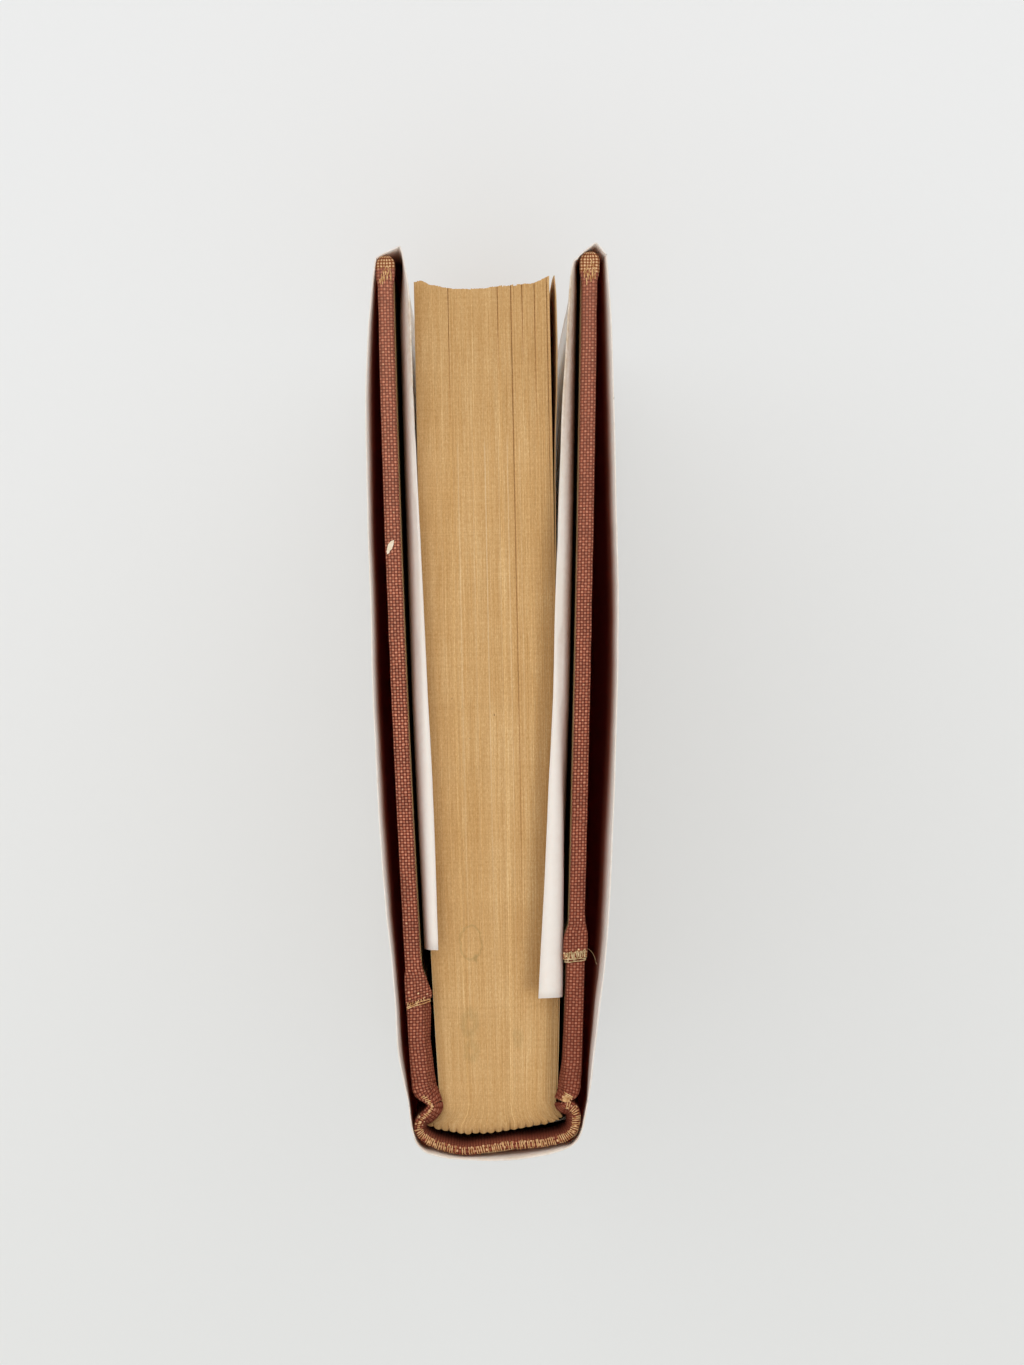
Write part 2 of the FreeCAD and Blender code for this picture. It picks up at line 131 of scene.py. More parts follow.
def gridPiece(name, across, along, place, material, body=None, replaced=(),
              closed=False, thickness=0.0, drop=None, facing=None, reverse=None):
    # a grid sent to its place by a formula: place(s, t) gives x, y, z in mm, a length
    # along the threads and one across them in mm, and how worn the spot is, with painted shade and light in
    # it on the pages and the jacket
    bm = bmesh.new()
    bmesh.ops.create_grid(bm, x_segments=across, y_segments=along, size=1)
    uvs = bm.loops.layers.uv.new("threads")
    worn = bm.verts.layers.float.new("worn")
    found = {}
    for vert in bm.verts:
        s, t = (vert.co.x + 1) / 2, (vert.co.y + 1) / 2
        x, y, z, u, v, w = place(s, t)
        found[vert] = (u, v)
        vert[worn] = w
        vert.co = (x * 0.001, y * 0.001, z * 0.001)
    for face in bm.faces:
        face.smooth = True
        for loop in face.loops:
            u, v = found[loop.vert]
            loop[uvs].uv = (u * 0.001, v * 0.001)
    if drop:
        gone = [f for f in bm.faces if drop(f.calc_center_median() * 1000)]
        bmesh.ops.delete(bm, geom=gone, context="FACES")
    if closed:
        bmesh.ops.remove_doubles(bm, verts=bm.verts, dist=2e-6)
    bmesh.ops.recalc_face_normals(bm, faces=bm.faces)
    if facing:
        spot, way = Vector(facing[0]) * 0.001, Vector(facing[1])
        nearest = min(bm.faces, key=lambda f: (f.calc_center_median() - spot).length)
        if nearest.normal.dot(way) < 0:
            bmesh.ops.reverse_faces(bm, faces=bm.faces)
    piece = finishPiece(name, bm, material, body, replaced, thickness)
    if reverse:
        piece.data.materials.append(reverse)
        piece.modifiers["wall"].material_offset = 1
    return piece


def finishPiece(name, bm, material, body, replaced, thickness=0.0):
    mesh = bpy.data.meshes.new(name)
    bm.to_mesh(mesh)
    bm.free()
    mesh.materials.append(material)
    piece = bpy.data.objects.new(name, mesh)
    scene.collection.objects.link(piece)
    if thickness:
        wall = piece.modifiers.new("wall", "SOLIDIFY")
        wall.thickness = thickness * 0.001
        wall.offset = 0
    if replaced:
        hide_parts(*replaced)
    if body:
        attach(piece, body)
    return piece


def strandPiece(name, strands, radius, material, body):
    # short threads, each a list of points in mm, made one mesh
    curve = bpy.data.curves.new(name, "CURVE")
    curve.dimensions = "3D"
    curve.bevel_depth = radius * 0.001
    curve.bevel_resolution = 1
    curve.use_fill_caps = True
    for points in strands:
        spline = curve.splines.new("POLY")
        spline.points.add(len(points) - 1)
        for point, (x, y, z) in zip(spline.points, points):
            point.co = (x * 0.001, y * 0.001, z * 0.001, 1)
    maker = bpy.data.objects.new(name + "Path", curve)
    scene.collection.objects.link(maker)
    bpy.context.view_layer.update()
    mesh = bpy.data.meshes.new_from_object(maker.evaluated_get(bpy.context.evaluated_depsgraph_get()))
    bpy.data.objects.remove(maker)
    bm = bmesh.new()
    bm.from_mesh(mesh)
    bpy.data.meshes.remove(mesh)
    for face in bm.faces:
        face.smooth = True
    return finishPiece(name, bm, material, body, ())


# materials

def linear(code):
    parts = [int(code[i:i + 2], 16) / 255 for i in (1, 3, 5)]
    return tuple(p / 12.92 if p <= 0.04045 else ((p + 0.055) / 1.055) ** 2.4 for p in parts) + (1.0,)


def addNode(tree, kind, settings=None, links=None, stops=None):
    # links give each input a socket, or a node whose result it takes
    node = tree.nodes.new("ShaderNode" + kind)
    for key, value in (settings or {}).items():
        if isinstance(key, int) or key in node.inputs:
            node.inputs[key].default_value = value
        else:
            setattr(node, key, value)
    for key, source in (links or {}).items():
        tree.links.new(result(source) if isinstance(source, bpy.types.Node) else source, node.inputs[key])
    if stops:
        ramp = node.color_ramp
        while len(ramp.elements) < len(stops):
            ramp.elements.new(0.5)
        for element, (place, code) in zip(ramp.elements, stops):
            element.position = place
            element.color = linear(code)
    return node


def result(node):
    return next(socket for socket in node.outputs if socket.enabled)


def startMaterial(name, roughness, specular=0.5, ior=1.5):
    material = bpy.data.materials.new(name)
    material.use_nodes = True
    tree = material.node_tree
    tree.nodes.clear()
    shader = addNode(tree, "BsdfPrincipled",
                     {"Roughness": roughness, "Specular IOR Level": specular, "IOR": ior})
    addNode(tree, "OutputMaterial", {}, {"Surface": shader})
    return material, tree, shader


# Plain-weave cotton book cloth, dyed red-brown and starched. The eye sees rows of paler
# thread crowns on a darker ground, and bare tan cotton where the dye has rubbed off.
cloth = {
    "pitch": 0.48,           # threads are 0.37 mm apart, drawn a little coarser so that they show
    "ground": "#5A1F13", "weft": "#AC6449", "crown": "#C98669",
    "bareGap": "#7C4022", "bareWeft": "#CC9464", "bareCrown": "#F0CDA2",
    "sunned": "#AA705A",     # paler and pinker towards the fore edge
    "deep": "#6C2C18",       # and darker by the joint and on the front cover; on the spine cloth also painted shade below the head of the fold
    "relief": 0.09,          # mm
}


def weaveNodes(tree, pitch):
    # crowns of warp and weft as a chequer of small swellings, from -1 to 1
    uv = addNode(tree, "UVMap", {"uv_map": "threads"})
    wobble = addNode(tree, "TexNoise", {"Scale": 900.0, "Detail": 2.0},
                     {"Vector": uv})
    shift = addNode(tree, "VectorMath", {"operation": "SCALE", "Scale": 0.00022},
                    {0: wobble.outputs["Color"]})
    moved = addNode(tree, "VectorMath", {"operation": "ADD"},
                    {0: uv, 1: shift})
    split = addNode(tree, "SeparateXYZ", {}, {0: moved})
    waves = []
    for axis in ("X", "Y"):
        turn = addNode(tree, "Math", {"operation": "MULTIPLY", 1: math.pi / (pitch * 0.001)},
                       {0: split.outputs[axis]})
        waves.append(addNode(tree, "Math", {"operation": "SINE"}, {0: turn}))
    crowns = addNode(tree, "Math", {"operation": "MULTIPLY"},
                     {0: waves[0], 1: waves[1]})
    return uv, crowns


def clothMaterial(name, foldShade):
    material, tree, shader = startMaterial(name, 0.85, 0.25)
    uv, crowns = weaveNodes(tree, cloth["pitch"])
    spread = addNode(tree, "MapRange", {"From Min": -1.0, "From Max": 1.0},
                     {0: crowns})
    dyed = addNode(tree, "ValToRGB", {}, {0: spread},
                   [(0.0, cloth["weft"]), (0.22, cloth["weft"]), (0.41, cloth["ground"]),
                    (0.59, cloth["ground"]), (0.78, cloth["crown"]), (1.0, cloth["crown"])])
    bare = addNode(tree, "ValToRGB", {}, {0: spread},
                   [(0.0, cloth["bareCrown"]), (0.2, cloth["bareWeft"]), (0.43, cloth["bareGap"]),
                    (0.57, cloth["bareGap"]), (0.76, cloth["bareWeft"]), (1.0, cloth["bareCrown"])])
    # threads differ a little in dye: one value for each column and row of the weave
    cells = addNode(tree, "VectorMath", {"operation": "SCALE", "Scale": 1 / (cloth["pitch"] * 0.001)},
                    {0: uv})
    floor = addNode(tree, "VectorMath", {"operation": "FLOOR"}, {0: cells})
    chance = addNode(tree, "TexWhiteNoise", {"noise_dimensions": "2D"}, {"Vector": floor})
    blotch = addNode(tree, "TexNoise", {"Scale": 160.0, "Detail": 4.0, "Roughness": 0.6},
                     {"Vector": uv})
    tone = addNode(tree, "MapRange", {"To Min": 0.80, "To Max": 1.22}, {0: chance})
    tone2 = addNode(tree, "MapRange", {"From Min": 0.3, "From Max": 0.7, "To Min": 0.86, "To Max": 1.14},
                    {0: blotch})
    both = addNode(tree, "Math", {"operation": "MULTIPLY"}, {0: tone, 1: tone2})
    toned = addNode(tree, "VectorMath", {"operation": "SCALE"},
                    {0: dyed, "Scale": both})
    spot = addNode(tree, "TexCoord")
    length = addNode(tree, "SeparateXYZ", {}, {0: spot.outputs["Object"]})
    fading = addNode(tree, "MapRange", {"From Min": 0.0, "From Max": 0.072, "To Max": 0.38},
                     {0: length.outputs["Y"]})
    toned = addNode(tree, "Mix", {"data_type": "RGBA", 7: linear(cloth["sunned"])},
                    {0: fading, 6: toned})
    dimming = addNode(tree, "MapRange", {"From Min": 0.0, "From Max": -0.066, "To Max": 0.36},
                      {0: length.outputs["Y"]})
    frontSide = addNode(tree, "MapRange", {"From Min": -0.012, "From Max": 0.012, "To Max": 0.17},
                        {0: length.outputs["X"]})
    # painted shade: the spine cloth darkens from the head of its fold to 3 mm below it, and stays so
    # further down
    inFold = addNode(tree, "MapRange", {"From Min": book["capHead"] * 0.001,
                                                  "From Max": book["capHead"] * 0.001 - 0.003,
                                        "To Max": foldShade},
                     {0: length.outputs["Z"]})
    shades = addNode(tree, "Math", {"operation": "ADD"}, {0: dimming, 1: frontSide})
    shades = addNode(tree, "Math", {"operation": "ADD"}, {0: shades, 1: inFold})
    toned = addNode(tree, "Mix", {"data_type": "RGBA", 7: linear(cloth["deep"])},
                    {0: shades, 6: toned})
    # the dye goes first from the crowns of the threads
    wear = addNode(tree, "Attribute", {"attribute_name": "worn"})
    patch = addNode(tree, "TexNoise", {"Scale": 1400.0, "Detail": 3.0}, {"Vector": uv})
    height = addNode(tree, "Math", {"operation": "MULTIPLY", 1: 0.18}, {0: crowns})
    reach = addNode(tree, "Math", {"operation": "ADD"}, {0: wear.outputs["Fac"], 1: height})
    over = addNode(tree, "Math", {"operation": "SUBTRACT"}, {0: reach, 1: patch})
    cut = addNode(tree, "MapRange", {"From Min": -0.06, "From Max": 0.10,
                                     "interpolation_type": "SMOOTHSTEP"},
                  {0: over})
    colour = addNode(tree, "Mix", {"data_type": "RGBA"},
                     {0: cut, 6: toned, 7: bare})
    tree.links.new(result(colour), shader.inputs["Base Color"])
    lift = addNode(tree, "Math", {"operation": "ABSOLUTE"}, {0: crowns})
    fibre = addNode(tree, "TexNoise", {"Scale": 9000.0, "Detail": 2.0}, {"Vector": uv})
    soft = addNode(tree, "Math", {"operation": "MULTIPLY_ADD", 1: 0.25}, {0: fibre, 2: lift})
    bump = addNode(tree, "Bump", {"Distance": cloth["relief"] * 0.001, "Strength": 0.8},
                   {"Height": soft})
    tree.links.new(result(bump), shader.inputs["Normal"])
    return material


# Wood-pulp book paper, guillotined and browned with age. Each leaf edge shows as a fine
# streak, paler or darker than the next, and the whole head is softly uneven.
# The darkest colour stands for painted shade in the gaps between leaves and sections, beside the flaps and
# along the back, for browning on the flanks, and for small specks.
pagePaper = {
    "middle": "#D7AE76", "light": "#EAC892", "dark": "#BA8E55", "slit": "#6B4722", "between": "#CA9E64",
    "pale": "#EED6AC",
    "stain": "#A58A55",
}


# old water marks and specks on the head: x, y, radius, width of the rim, strength (mm)
stains = [(-3.9, -39.0, 1.75, 0.26, 0.36), (-3.2, -41.6, 0.2, 0.35, 0.5), (-4.4, -52.0, 1.0, 0.9, 0.3),
          (-4.2, -56.5, 0.8, 0.8, 0.26), (3.4, -54.5, 0.5, 0.8, 0.22), (0.7, -2.1, 0.0, 0.2, 0.95),
          (-3.6, -6.0, 0.0, 0.16, 0.7), (-6.2, 0.5, 0.0, 0.14, 0.6), (-5.0, -24.0, 0.0, 0.16, 0.5),
          (4.5, 20.0, 0.0, 0.13, 0.5)]


def addStains(tree, colour):
    spot = addNode(tree, "TexCoord")
    wander = addNode(tree, "TexNoise", {"Scale": 700.0, "Detail": 2.0}, {"Vector": spot.outputs["Object"]})
    shift = addNode(tree, "VectorMath", {"operation": "SCALE", "Scale": 0.0011},
                    {0: wander.outputs["Color"]})
    moved = addNode(tree, "VectorMath", {"operation": "ADD"}, {0: spot.outputs["Object"], 1: shift})
    flat = addNode(tree, "Mapping", {"Scale": (1.0, 0.62, 0.2)}, {0: moved})
    for x, y, radius, rim, strength in stains:
        centre = ((x + 0.55) * 0.001, (y + 0.55) * 0.62 * 0.001, (book["pagesHead"] + 0.55) * 0.2 * 0.001)
        away = addNode(tree, "VectorMath", {"operation": "DISTANCE", 1: centre}, {0: flat})
        off = addNode(tree, "Math", {"operation": "SUBTRACT", 1: radius * 0.001}, {0: away})
        gap = addNode(tree, "Math", {"operation": "ABSOLUTE"}, {0: off})
        mark = addNode(tree, "MapRange", {"From Max": rim * 0.001, "To Min": strength, "To Max": 0.0,
                                                    "interpolation_type": "SMOOTHSTEP"}, {0: gap})
        shade = pagePaper["stain"] if radius else pagePaper["slit"]
        colour = addNode(tree, "Mix", {"data_type": "RGBA", 7: linear(shade)},
                         {0: mark, 6: colour})
    return colour


def pagesMaterial():
    material, tree, shader = startMaterial("browned book paper, cut edges", 0.9, 0.2)
    uv = addNode(tree, "UVMap", {"uv_map": "threads"})       # x across the leaves, y along them
    streakScale = addNode(tree, "Mapping", {"Scale": (1.0, 0.016, 1.0)}, {0: uv})
    streak = addNode(tree, "TexNoise", {"Scale": 4800.0, "Detail": 3.0, "Roughness": 0.7},
                     {"Vector": streakScale})
    wide = addNode(tree, "Mapping", {"Scale": (1.0, 0.03, 1.0)}, {0: uv})
    broad = addNode(tree, "TexNoise", {"Scale": 520.0, "Detail": 2.0}, {"Vector": wide})
    grainScale = addNode(tree, "Mapping", {"Scale": (1.0, 0.4, 1.0)}, {0: uv})
    grain = addNode(tree, "TexNoise", {"Scale": 4400.0, "Detail": 3.0, "Roughness": 0.8},
                    {"Vector": grainScale})
    cloud = addNode(tree, "TexNoise", {"Scale": 70.0, "Detail": 3.0}, {"Vector": uv})
    total = None
    for part, weight in ((streak, 0.32), (broad, 0.15), (grain, 0.41), (cloud, 0.12)):
        scaled = addNode(tree, "Math", {"operation": "MULTIPLY_ADD", 1: weight, 2: 0.0},
                         {0: part})
        if total:
            tree.links.new(result(total), scaled.inputs[2])
        total = scaled
    colour = addNode(tree, "ValToRGB", {}, {0: total},
                     [(0.37, pagePaper["dark"]), (0.45, pagePaper["between"]), (0.52, pagePaper["middle"]),
                      (0.61, pagePaper["light"])])
    colour = addStains(tree, colour)
    shade = addNode(tree, "Attribute", {"attribute_name": "worn"})   # -1 paler, 0 clean, 1 darkest: painted shade in slits, grooves and beside the flaps, and browning
    pale = addNode(tree, "MapRange", {"From Min": 0.0, "From Max": -1.0}, {0: shade.outputs["Fac"]})
    colour = addNode(tree, "Mix", {"data_type": "RGBA", 7: linear(pagePaper["pale"])},
                     {0: pale, 6: colour})
    # painted shade and browning, mixed in by the attribute
    darker = addNode(tree, "MapRange", {}, {0: shade.outputs["Fac"]})
    deep = addNode(tree, "Mix", {"data_type": "RGBA", 7: linear(pagePaper["slit"])},
                   {0: darker, 6: colour})
    tree.links.new(result(deep), shader.inputs["Base Color"])
    bump = addNode(tree, "Bump", {"Distance": 0.00008, "Strength": 0.7}, {"Height": total})
    tree.links.new(result(bump), shader.inputs["Normal"])
    return material


# Uncoated wove endpaper, browned. Flat and soft, a little mottled.
def endpaperMaterial():
    material, tree, shader = startMaterial("browned wove endpaper", 0.9, 0.2)
    shader.inputs["Subsurface Weight"].default_value = 0.4
    shader.inputs["Subsurface Scale"].default_value = 0.0005
    shader.inputs["Subsurface Radius"].default_value = (1.0, 0.5, 0.25)
    spot = addNode(tree, "TexCoord")
    mottle = addNode(tree, "TexNoise", {"Scale": 30.0, "Detail": 7.0, "Roughness": 0.6},
                     {"Vector": spot.outputs["Object"]})
    colour = addNode(tree, "ValToRGB", {}, {0: mottle},
                     [(0.25, "#B89466"), (0.5, "#C4A070"), (0.75, "#CCAA7C")])
    tree.links.new(result(colour), shader.inputs["Base Color"])
    fibre = addNode(tree, "TexNoise", {"Scale": 2500.0, "Detail": 3.0}, {"Vector": spot.outputs["Object"]})
    bump = addNode(tree, "Bump", {"Distance": 0.00003, "Strength": 0.5}, {"Height": fibre})
    tree.links.new(result(bump), shader.inputs["Normal"])
    return material


# Clay-coated jacket paper, calendered and unprinted. Smooth with a soft gloss, greyer
# and yellower along the folds and head edge, with fine rubs and a few specks. Its uncoated
# reverse is matt. Its colour runs from white at the head and tail to red-brown deeper down,
# painted shade with the cloth's red thrown on it, and to a duller painted shade on the flaps.
# Light soaks through the thin sheet, and more of the red than of the rest.
jacketPaper = {"soak": 0.45, "soakDepth": 0.0008, "soakColours": (1.0, 0.8, 0.74),
               # the reverse from the head down: clean paper, then painted shade reddened by the cloth, and
               # a duller painted shade on the flaps
               "clean": "#FFFBF7", "faintShade": "#E8D9D2", "dyed": "#B07A68", "deep": "#8E3C2A",
               "flapShade": "#A8917F", "flapDeepShade": "#5A443A",
               "foldRun": (0.1375, 0.1415)}      # m along the sheet, where the flap begins


def jacketMaterial(reverse):
    name = "uncoated reverse of the jacket paper" if reverse else "coated jacket paper, unprinted"
    material, tree, shader = startMaterial(name, 0.8 if reverse else 0.42, 0.2 if reverse else 0.5)
    shader.inputs["Subsurface Weight"].default_value = jacketPaper["soak"]
    shader.inputs["Subsurface Scale"].default_value = jacketPaper["soakDepth"]
    shader.inputs["Subsurface Radius"].default_value = jacketPaper["soakColours"]
    spot = addNode(tree, "TexCoord")
    cloud = addNode(tree, "TexNoise", {"Scale": 25.0, "Detail": 5.0, "Roughness": 0.6},
                    {"Vector": spot.outputs["Object"]})
    colour = addNode(tree, "ValToRGB", {}, {0: cloud},
                     [(0.3, "#F1E9E1"), (0.5, "#F7F0EA"), (0.7, "#FAF5EF")])
    speck = addNode(tree, "TexVoronoi", {"Scale": 240.0}, {"Vector": spot.outputs["Object"]})
    dot = addNode(tree, "MapRange", {"From Min": 0.04, "From Max": 0.07, "To Min": 0.5, "To Max": 0.0},
                  {0: speck.outputs["Distance"]})
    chance = addNode(tree, "SeparateColor", {}, {0: speck.outputs["Color"]})
    some = addNode(tree, "Math", {"operation": "LESS_THAN", 1: 0.05}, {0: chance})
    dots = addNode(tree, "Math", {"operation": "MULTIPLY"}, {0: dot, 1: some})
    dirty = addNode(tree, "Mix", {"data_type": "RGBA", 7: linear("#6E5A48")},
                    {0: dots, 6: colour})
    wear = addNode(tree, "Attribute", {"attribute_name": "worn"})
    rub = addNode(tree, "TexNoise", {"Scale": 700.0, "Detail": 4.0, "Roughness": 0.7},
                  {"Vector": spot.outputs["Object"]})
    amount = addNode(tree, "Math", {"operation": "MULTIPLY"}, {0: wear.outputs["Fac"], 1: rub})
    # tan where the paper is rubbed, and on the front flap a painted reflection of light thrown from the
    # pages
    toned = addNode(tree, "Mix", {"data_type": "RGBA", 7: linear("#C4AE92")},
                    {0: amount, 6: dirty})
    if reverse:
        # mm below the head edge, or above the tail
        height = addNode(tree, "SeparateXYZ", {}, {0: spot.outputs["Object"]})
        halfHigh = book["jacketHead"] * 0.0005
        middle = addNode(tree, "Math", {"operation": "SUBTRACT", 1: halfHigh},
                         {0: height.outputs["Z"]})
        half = addNode(tree, "Math", {"operation": "ABSOLUTE"}, {0: middle})
        deep = addNode(tree, "MapRange", {"From Min": halfHigh, "From Max": halfHigh - 0.02}, {0: half})
        uneven = addNode(tree, "Math", {"operation": "MULTIPLY_ADD", 1: 0.06, 2: -0.03}, {0: rub})
        depth = addNode(tree, "Math", {"operation": "ADD"}, {0: deep, 1: uneven})
        # painted shade: white at the head and tail, red-brown deeper down where the cloth's red is thrown
        # on it; duller on the flaps
        paintedRedShade = addNode(tree, "ValToRGB", {}, {0: depth},
                      [(0.05, jacketPaper["clean"]), (0.18, jacketPaper["faintShade"]),
                       (0.45, jacketPaper["dyed"]), (1.0, jacketPaper["deep"])])
        shaded = addNode(tree, "ValToRGB", {}, {0: depth},
                         [(0.05, jacketPaper["clean"]), (0.2, jacketPaper["faintShade"]),
                          (0.5, jacketPaper["flapShade"]), (1.0, jacketPaper["flapDeepShade"])])
        uv = addNode(tree, "UVMap", {"uv_map": "threads"})
        sheet = addNode(tree, "SeparateXYZ", {}, {0: uv})
        start, end = jacketPaper["foldRun"]
        flap = addNode(tree, "MapRange", {"From Min": start, "From Max": end}, {0: sheet.outputs["X"]})
        paintedShade = addNode(tree, "Mix", {"data_type": "RGBA"},
                       {0: flap, 6: paintedRedShade, 7: shaded})
        toned = addNode(tree, "Mix", {"data_type": "RGBA", "blend_type": "MULTIPLY", 0: 1.0},
                        {6: toned, 7: paintedShade})
    else:
        scuff = addNode(tree, "MapRange", {"From Min": 0.35, "From Max": 0.7,
                                           "To Min": 0.34, "To Max": 0.55}, {0: rub})
        tree.links.new(result(scuff), shader.inputs["Roughness"])
    tree.links.new(result(toned), shader.inputs["Base Color"])
    bump = addNode(tree, "Bump", {"Distance": 0.00004, "Strength": 0.35}, {"Height": rub})
    tree.links.new(result(bump), shader.inputs["Normal"])
    return material


def mottledMaterial(name, roughness, pattern, stops, relief=None):
    # one noise gives both the colour and the relief: (mm high, strength)
    material, tree, shader = startMaterial(name, roughness, 0.2)
    spot = addNode(tree, "TexCoord")
    tone = addNode(tree, "TexNoise", pattern, {"Vector": spot.outputs["Object"]})
    colour = addNode(tree, "ValToRGB", {}, {0: tone}, stops)
    tree.links.new(result(colour), shader.inputs["Base Color"])
    if relief:
        bump = addNode(tree, "Bump", {"Distance": relief[0] * 0.001, "Strength": relief[1]},
                       {"Height": tone})
        tree.links.new(result(bump), shader.inputs["Normal"])
    return material


# Seamless studio paper under the book: matt, nearly neutral.
def floorMaterial():
    material, tree, shader = startMaterial("studio paper", 0.95, 0.0)
    spot = addNode(tree, "TexCoord")
    cloud = addNode(tree, "TexNoise", {"Scale": 2.0, "Detail": 2.0}, {"Vector": spot.outputs["Object"]})
    along = addNode(tree, "SeparateXYZ", {}, {0: spot.outputs["Object"]})
    # painted light: the paper's colour grows lighter towards +y, as the light falls there; the noise makes
    # it uneven
    place = addNode(tree, "Math", {"operation": "MULTIPLY_ADD", 1: 0.2}, {0: cloud, 2: along.outputs["Y"]})
    colour = addNode(tree, "MapRange", {"data_type": "FLOAT_VECTOR", 7: (-0.05,) * 3, 8: (0.22,) * 3,
                                                  9: linear("#E0E1DF")[:3], 10: linear("#E9EAEA")[:3]},
                     {6: place})
    tree.links.new(colour.outputs[1], shader.inputs["Base Color"])
    return material


pagesLook = pagesMaterial()
endpaperLook = endpaperMaterial()
spineClothLook = clothMaterial("red-brown book cloth, spine", 0.4)
sideClothLook = clothMaterial("red-brown book cloth, sides", 0.0)
jacketLook = jacketMaterial(False)
jacketReverseLook = jacketMaterial(True)

# Cotton threads of the cloth, frayed out of the weave: bare, fuzzy and uneven in tone.
threadFuzz = {"Scale": 1500.0, "Detail": 2.0}
bareThreadLook = mottledMaterial("frayed cotton thread, bare", 0.9, threadFuzz,
                                 [(0.35, "#B98450"), (0.65, "#EBC48E")], (0.04, 0.6))
dullThreadLook = mottledMaterial("frayed cotton thread, dusty", 0.9, threadFuzz,
                                 [(0.35, "#A5885A"), (0.65, "#DCC298")], (0.04, 0.6))

# Pressed grey board, kraft card and starched gauze: dull, speckled with pulp or fibre.
pulp, weaveSpecks = ({"Scale": scale, "Detail": 6.0, "Roughness": 0.75} for scale in (900.0, 3000.0))
greyBoardLook = mottledMaterial("grey board", 0.95, pulp, [(0.3, "#6E6253"), (0.7, "#8E8270")], (0.1, 0.5))
cardLook = mottledMaterial("brown card", 0.95, pulp, [(0.3, "#7A5F43"), (0.7, "#967A58")], (0.1, 0.5))
gauzeLook = mottledMaterial("cotton gauze", 0.95, weaveSpecks,
                            [(0.3, "#BFB199"), (0.7, "#DACFBA")], (0.1, 0.5))

# Torn paper: pale, with a soft felted edge.
chipLook = mottledMaterial("torn paper chip", 0.85, {"Scale": 1200.0, "Detail": 3.0},
                           [(0.3, "#E3CFAE"), (0.7, "#F1E6D2")])
print("materials made")


# camera, light and floor

camera = {
    "place": (-0.5, 2.0, 909.4),       # 700 mm above the head
    "aim": (3.55, 3.08, 209.4),        # the middle of the picture, on the head
    "roll": 1.15,                      # degrees that the book leans to the left
    "across": 220.16,                  # mm of the head that the long side of the picture takes in
    "sensor": 36.0,
}


def makeCamera():
    place, aim = Vector(camera["place"]), Vector(camera["aim"])
    roll = math.radians(camera["roll"])
    away = (place - aim).normalized()
    right = Vector((math.sin(roll), math.cos(roll), 0)).cross(away).normalized()
    up = away.cross(right)
    data = bpy.data.cameras.new("overhead")
    data.sensor_width = camera["sensor"]
    data.lens = camera["sensor"] * (place - aim).length / camera["across"]
    data.clip_start, data.clip_end = 0.01, 20.0
    holder = bpy.data.objects.new("overhead", data)
    turn = Matrix((right, up, away)).transposed().to_4x4()
    holder.matrix_world = Matrix.Translation(place * 0.001) @ turn
    scene.collection.objects.link(holder)
    scene.camera = holder


studio = {"world": 0.80, "sun": 0.80, "sunSize": 70.0, "sunFrom": (-0.12, 0.30, 1.0)}


def makeStudio():
    world = bpy.data.worlds.new("studio")
    scene.world = world
    world.use_nodes = True
    world.node_tree.nodes.clear()
    sky = addNode(world.node_tree, "Background",
                  {"Color": linear("#FFFFFF"), "Strength": studio["world"]})
    addNode(world.node_tree, "OutputWorld", {}, {"Surface": sky})
    lamp = bpy.data.lights.new("softbox", "SUN")
    lamp.energy = studio["sun"]
    lamp.angle = math.radians(studio["sunSize"])
    holder = bpy.data.objects.new("softbox", lamp)
    holder.rotation_mode = "QUATERNION"
    holder.rotation_quaternion = Vector(studio["sunFrom"]).to_track_quat("Z", "Y")
    scene.collection.objects.link(holder)
    bm = bmesh.new()
    bmesh.ops.create_grid(bm, x_segments=1, y_segments=1, size=4.0)
    mesh = bpy.data.meshes.new("studioFloor")
    bm.to_mesh(mesh)
    bm.free()
    mesh.materials.append(floorMaterial())
    floor = bpy.data.objects.new("studioFloor", mesh)
    scene.collection.objects.link(floor)


makeCamera()
makeStudio()
print("camera and studio made")


# pages

